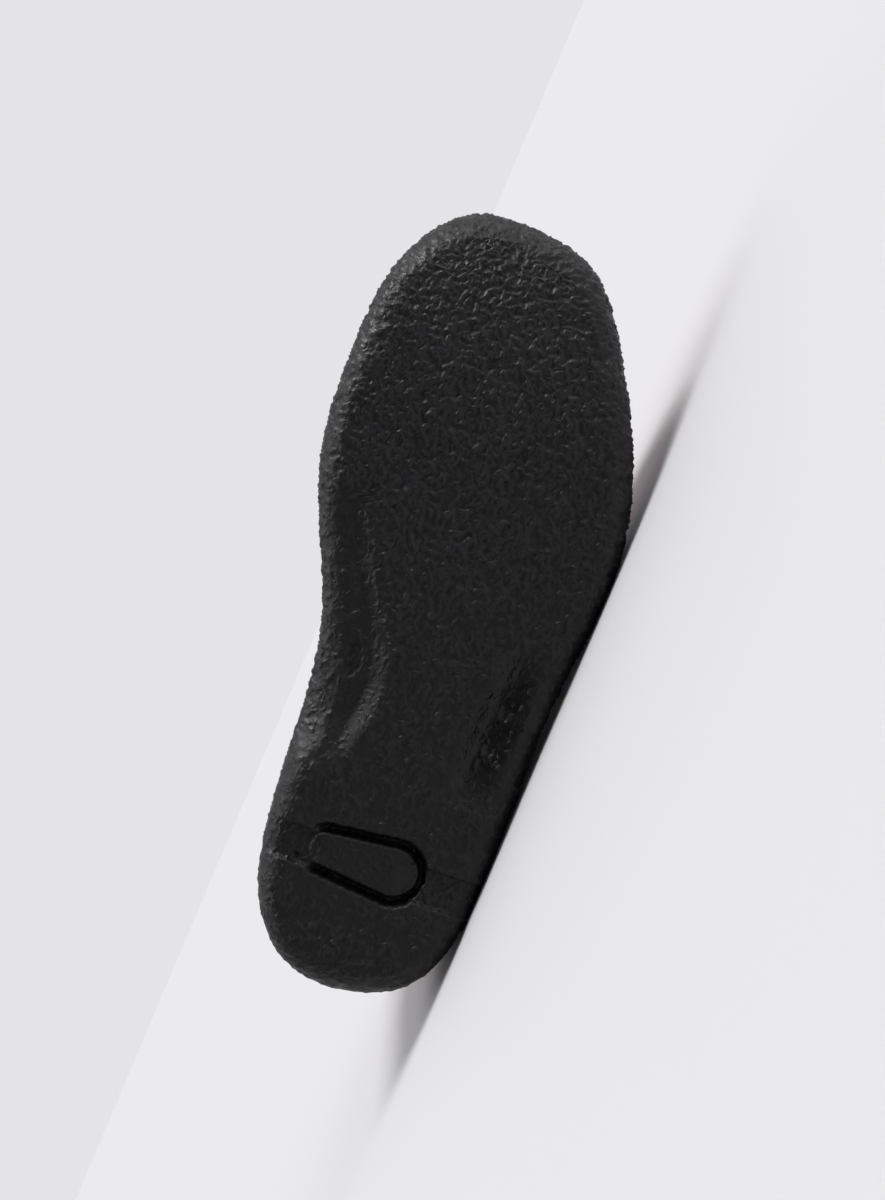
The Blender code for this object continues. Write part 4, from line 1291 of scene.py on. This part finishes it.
def cut_eyelet_holes(pieces):
    """Cuts a hole for each eyelet's barrel through the pieces."""
    radius = EYELET_BARREL_RADIUS + EYELET_HOLE_GAP
    reach = EYELET_HOLE_REACH
    rod = ((0.0, -reach), (radius, -reach), (radius, reach), (0.0, reach))
    rods = [turned(place, axis, rod, EYELET_SIDES // 2) for _, place, axis in eyelet_places()]
    points, faces = joined(rods)
    tool = bpy.data.objects.new("eyelet_holes", closed_mesh("eyelet_holes", laid(points), faces))
    bpy.context.scene.collection.objects.link(tool)
    for piece in pieces:
        cut(piece, tool)
    bpy.data.objects.remove(tool)


def eyelet_profile():
    """An eyelet in section, radius and height: its barrel, its crowned flange and the dip to its bore."""
    seat = BAND_STEP + BAND_GAP
    barrel = EYELET_BARREL_RADIUS
    bore = EYELET_BORE_RADIUS
    crown = EYELET_CROWN * (EYELET_FLANGE_RADIUS - bore)
    dip = EYELET_DIP * (EYELET_FLANGE_RADIUS - bore)
    rows = [(bore, FIT_GAP - WALL), (barrel, FIT_GAP - WALL), (barrel, seat)]
    for angle in EYELET_CROWN_ANGLES:
        rise = (EYELET_TOP - seat) * math.sin(angle)
        rows.append((EYELET_FLANGE_RADIUS - crown * (1 - math.cos(angle)), seat + rise))
    for angle in EYELET_DIP_ANGLES:
        rows.append((bore + dip * (1 - math.sin(angle)), EYELET_TOP - dip * (1 - math.sin(angle))))
    return rows


def build_eyelets():
    metal = enamelled_metal()
    for node, place, axis in eyelet_places():
        points, faces = turned(place, axis, eyelet_profile(), EYELET_SIDES)
        ring = mesh_piece(f"{node}_ring", points, faces, metal, [node])
        ring.data.set_sharp_from_angle(angle=EYELET_SHARP)


# Tongue, insole and lace


def tongue_grid():
    """The middle of the tongue as a grid of points, with normals and distances from its edge."""
    f = -np.cos(np.linspace(0, math.pi, TONGUE_COLUMNS))
    rows = np.linspace(TONGUE_START, TONGUE_END, TONGUE_ROWS)
    across, along = np.meshgrid(f, rows)
    points = throat_surface(across, along)
    normals = normals_of(throat_surface, across, along, THROAT_STEP)
    climb = unit((points[-1] - points[-2]).mean(axis=0))
    half_width = run_lengths(points[-1])[-1] / 2
    top = np.concatenate([points[-1], normals[-1]], -1)
    bent = top.copy()
    for _ in range(TONGUE_BEND_PASSES):
        bent[1:-1] = 0.5 * bent[1:-1] + 0.25 * (bent[:-2] + bent[2:])
    free = []
    for share in np.sin(np.linspace(0, math.pi / 2, TONGUE_FREE_ROWS + 1))[1:]:
        turn = np.clip(1 - (1 - share) * TONGUE_RISE / TONGUE_CORNER, 0, 1)
        corner = TONGUE_CORNER * (1 - math.sqrt(1 - turn * turn))
        kept = 1 - TONGUE_TAPER * share - corner / half_width
        row = top + (bent - top) * smooth_step(share)
        row = np.stack([np.interp(f * kept, f, column) for column in row.T], -1)
        row[:, :3] += climb * TONGUE_RISE * share
        free.append(row)
    free = np.array(free)
    points = np.concatenate([points, free[..., :3]])
    normals = np.concatenate([normals, unit(free[..., 3:])])
    across = np.concatenate([across, np.repeat(across[-1:], len(free), axis=0)])
    run = run_lengths(points[:, TONGUE_COLUMNS // 2])
    end = np.minimum(run, run[-1] - run)[:, None]
    side = (1 - np.abs(across)) * 2 * TONGUE_LAP
    return points, normals, across, np.minimum(end, side)


def build_tongue():
    """The padded tongue, thin at its edge, with a sunk seam round it."""
    points, normals, across, edge = tongue_grid()
    under_flaps = smooth_step((np.abs(across) - TONGUE_TUCK_START) / TONGUE_TUCK_WIDTH)
    half = TONGUE_THICKNESS / 2
    depth = TONGUE_DEPTH + TONGUE_TUCK * under_flaps + half
    rim = np.clip(1 - edge / half, 0, 1)
    seam = TONGUE_SEAM * np.exp(-(((edge - TONGUE_SEAM_INSET) / TONGUE_SEAM_HALF_WIDTH) ** 2))
    crown = (1 - TONGUE_FLAT) * smooth_step(edge / TONGUE_CROWN_WIDTH)
    swell = half * (np.sqrt(1 - rim**2) * (TONGUE_FLAT - seam) + crown)
    sides = [points - normals * (depth + side * swell)[..., None] for side in (-1, 1)]
    rows, columns = across.shape
    faces = grid_faces(rows, columns) + grid_faces(rows, columns, rows * columns)
    red = leather("tongue_leather", TONGUE_RED, grain_size=0.0009, roughness=0.48, coat=0.08)
    both = np.reshape(sides, (-1, 3))
    tongue = mesh_piece("tongue_pad", both, faces, red, ["tongue"])


def build_insole():
    """The sock over the footbed, its edge rounded and its middle a little dished."""
    columns = INSOLE_COLUMNS
    u = np.arange(columns) / columns
    round_over = INSOLE_ROUND * INSOLE_THICKNESS
    side = INSOLE_THICKNESS - round_over
    steps = [(0.0, FIT_GAP), (0.0, side)]
    for angle in INSOLE_ROUND_ANGLES:
        steps.append((round_over * (1 - math.cos(angle)), side + round_over * math.sin(angle)))
    rings = []
    for more, lift in steps:
        rings.append(over_seat(outline(u, FEATHER_INSET + WALL + INSOLE_GAP + more)[0], lift))
    total = len(rings) * columns
    spots, top_faces = cross_lines(rings[-1], total - columns, total, INSOLE_CROSS)
    across = np.tile(np.arange(1, INSOLE_CROSS) / INSOLE_CROSS, len(spots) // (INSOLE_CROSS - 1))
    top = over_seat(spots, INSOLE_THICKNESS - INSOLE_DISH * smooth_step(4 * across * (1 - across)))
    spots, under_faces = cross_lines(rings[0], 0, total + len(top), SEAT_CROSS)
    points = np.vstack(rings + [top, over_seat(spots, FIT_GAP)])
    faces = stack_faces(len(rings), columns) + top_faces + under_faces
    tan = leather("sock_leather", SOCK_TAN, grain_size=0.0009, roughness=0.60)
    mesh_piece("insole_sock", points, faces, tan, ["insole"])


def lace_stops():
    """The lace from one top eyelet down to the bar and up to the other: f, s, height, width."""
    shares = eyelet_shares()
    run_end = [(-f, 1 - climb, height, width) for f, climb, height, width in RUN_START_INSIDE[::-1]]
    halves = []
    for sign in (1, -1):
        stops = [(sign * f, shares[0], height, width) for f, _, height, width in BAR]
        side = sign
        for number, (low, high) in enumerate(zip(shares, shares[1:])):
            on_top = (number % 2 == 0) == (sign > 0)
            run = list(RUN_START_OUTSIDE if number else RUN_START_INSIDE)
            run += [(f, climb, over if on_top else under, 1.0) for f, climb, over, under in RUN_MIDDLE]
            for f, climb, height, width in run + run_end:
                stops.append((side * f, low + (high - low) * climb, height, width))
            side = -side
        stops += [(side * f, shares[-1], height, width) for f, _, height, width in LACE_END]
        halves.append(stops)
    return np.array(halves[0][:0:-1] + halves[1])


def build_lace():
    """The flat lace, a tube along a curve through its stops, its width turned up the throat."""
    f, s, height, width = lace_stops().T
    normals = normals_of(throat_surface, f, s, THROAT_STEP)
    climbs = unit(throat_surface(f, s + THROAT_STEP) - throat_surface(f, s - THROAT_STEP))
    path = throat_surface(f, s) + normals * height[:, None]
    knots = run_lengths(path)
    along = np.arange(0, knots[-1], LACE_STEP)
    values = spline(knots, np.column_stack([path, climbs, width]))(along)
    path = values[:, :3]
    ahead = unit(np.gradient(path, axis=0))
    climb = values[:, 3:6]
    wide = unit(climb - ahead * np.sum(climb * ahead, axis=1, keepdims=True))
    kept = np.clip(values[:, 6], LACE_NARROWEST, 1.0)
    thickness = LACE_THICKNESS / kept**LACE_THICKENING
    thick = np.cross(ahead, wide)
    points, faces, across = tube(path, wide, thick, LACE_WIDTH * kept, thickness, LACE_SIDES)
    marks = {"along": np.repeat(along, LACE_SIDES), "across": across * LACE_WIDTH / 2}
    mesh_piece("lace_cord", points, faces, woven_cotton(), ["lace"], marks)


# Stitches


def stitches(path, normals):
    """Points and faces of a row of stitches along a path on a surface with the given normals."""
    run = run_lengths(path)
    count = int(run[-1] / STITCH_PITCH)
    t = np.linspace(0, 1, STITCH_RINGS)
    at = (np.arange(count)[:, None] + 0.5) * run[-1] / count + (t - 0.5) * STITCH_LENGTH
    spot = np.stack([np.interp(at, run, path[:, i]) for i in range(3)], -1)
    out = unit(np.stack([np.interp(at, run, normals[:, i]) for i in range(3)], -1))
    arch = np.sin(math.pi * t)
    spot = spot + out * (STITCH_RADIUS * (STITCH_RISE * arch - STITCH_SINK))[None, :, None]
    side = np.cross(unit(np.gradient(spot, axis=1)), out)
    thick = STITCH_RADIUS * (STITCH_TIP + (1 - STITCH_TIP) * arch)[None, :, None, None]
    angles = turn_angles(STITCH_SIDES)
    around = side[:, :, None] * np.cos(angles)[None, None, :, None]
    around = around + out[:, :, None] * np.sin(angles)[None, None, :, None]
    points = (spot[:, :, None] + around * thick).reshape(-1, 3)
    faces = []
    each = STITCH_RINGS * STITCH_SIDES
    for base in range(0, count * each, each):
        faces += stack_faces(STITCH_RINGS, STITCH_SIDES, base)
        faces.append(list(range(base, base + STITCH_SIDES)))
        faces.append(list(range(base + each - STITCH_SIDES, base + each)))
    return points, faces


def surface_row(below, height):
    """A closed row round the upper at a distance below the topline, with its normals."""
    u = np.linspace(0, 1, STITCH_ROW_SAMPLES)
    v = band_share(u, below)
    normals = normals_of(upper_surface, u, v)
    return upper_surface(u, v) + normals * height, normals


def build_stitches():
    """The rows of stitches that hold the band."""
    points, faces = joined([stitches(*surface_row(below, BAND_STEP)) for below in STITCH_ROWS])
    mesh_piece("upper_stitches", points, faces, waxed_thread(), ())


# Stage


def build_floor():
    bpy.ops.mesh.primitive_plane_add(size=FLOOR_SIZE, location=(0, 0, 0))
    floor = bpy.context.object
    floor.name = "floor"
    floor.data.materials.append(new_material("pale_floor", FLOOR_PALE, FLOOR_MATT)[0])


def build_studio():
    """A studio that is pale behind the shoe and dark before its black sole, and pale to the camera."""
    world = bpy.data.worlds.new("pale_studio")
    world.use_nodes = True
    tree = world.node_tree
    towards = add_node(tree, "ShaderNodeTexCoord").outputs["Generated"]
    depth = add_node(tree, "ShaderNodeSeparateXYZ", {0: towards}).outputs["Y"]
    share = ranged(tree, depth, 0.0, 1.0, *STUDIO_TURN)
    studio = mixed_colour(tree, share, STUDIO_FRONT, STUDIO_BACK)
    seen = add_node(tree, "ShaderNodeLightPath").outputs["Is Camera Ray"]
    values = {0: seen, 6: studio, 7: (*STUDIO_BACK, 1.0)}
    backdrop = add_node(tree, "ShaderNodeMix", values, data_type="RGBA").outputs[2]
    tree.links.new(backdrop, tree.nodes["Background"].inputs["Color"])
    bpy.context.scene.world = world
    bpy.context.scene.view_settings.view_transform = "Standard"


def build_lights():
    for name, direction, strength, angle in LIGHTS:
        light = bpy.data.lights.new(name, "SUN")
        light.energy = strength
        light.angle = angle
        lamp = bpy.data.objects.new(name, light)
        lamp.rotation_euler = Vector(direction).to_track_quat("Z", "Y").to_euler()
        bpy.context.scene.collection.objects.link(lamp)


def build_camera():
    """The photograph's view of the sole: from below, a little to the toe and the inner side."""
    camera = bpy.data.cameras.new("camera")
    camera.sensor_fit = "VERTICAL"
    camera.sensor_height = SENSOR_HEIGHT_MM
    camera.lens = SENSOR_HEIGHT_MM * FOCAL_PX / FRAME_HEIGHT_PX
    camera.clip_start = CAMERA_NEAR
    away = Vector((math.tan(TILT_TO_TOE), -math.tan(TILT_TO_INNER), -1.0)).normalized()
    place = Vector(TARGET) + away * CAMERA_DISTANCE
    up = Vector((math.cos(TOE_LEAN), -math.sin(TOE_LEAN), 0.0))
    right = (-away).cross(up).normalized()
    up = right.cross(-away)
    turn = Matrix((right, up, away)).transposed().to_4x4()
    obj = bpy.data.objects.new("camera", camera)
    obj.matrix_world = LYING @ Matrix.Translation(place) @ turn
    bpy.context.scene.collection.objects.link(obj)
    bpy.context.scene.camera = obj


build_camera()
build_floor()
build_studio()
build_lights()
build_sole()
cut_eyelet_holes([build_shell(), build_lining(), build_band()])
build_eyelets()
build_tongue()
build_insole()
build_lace()
build_stitches()
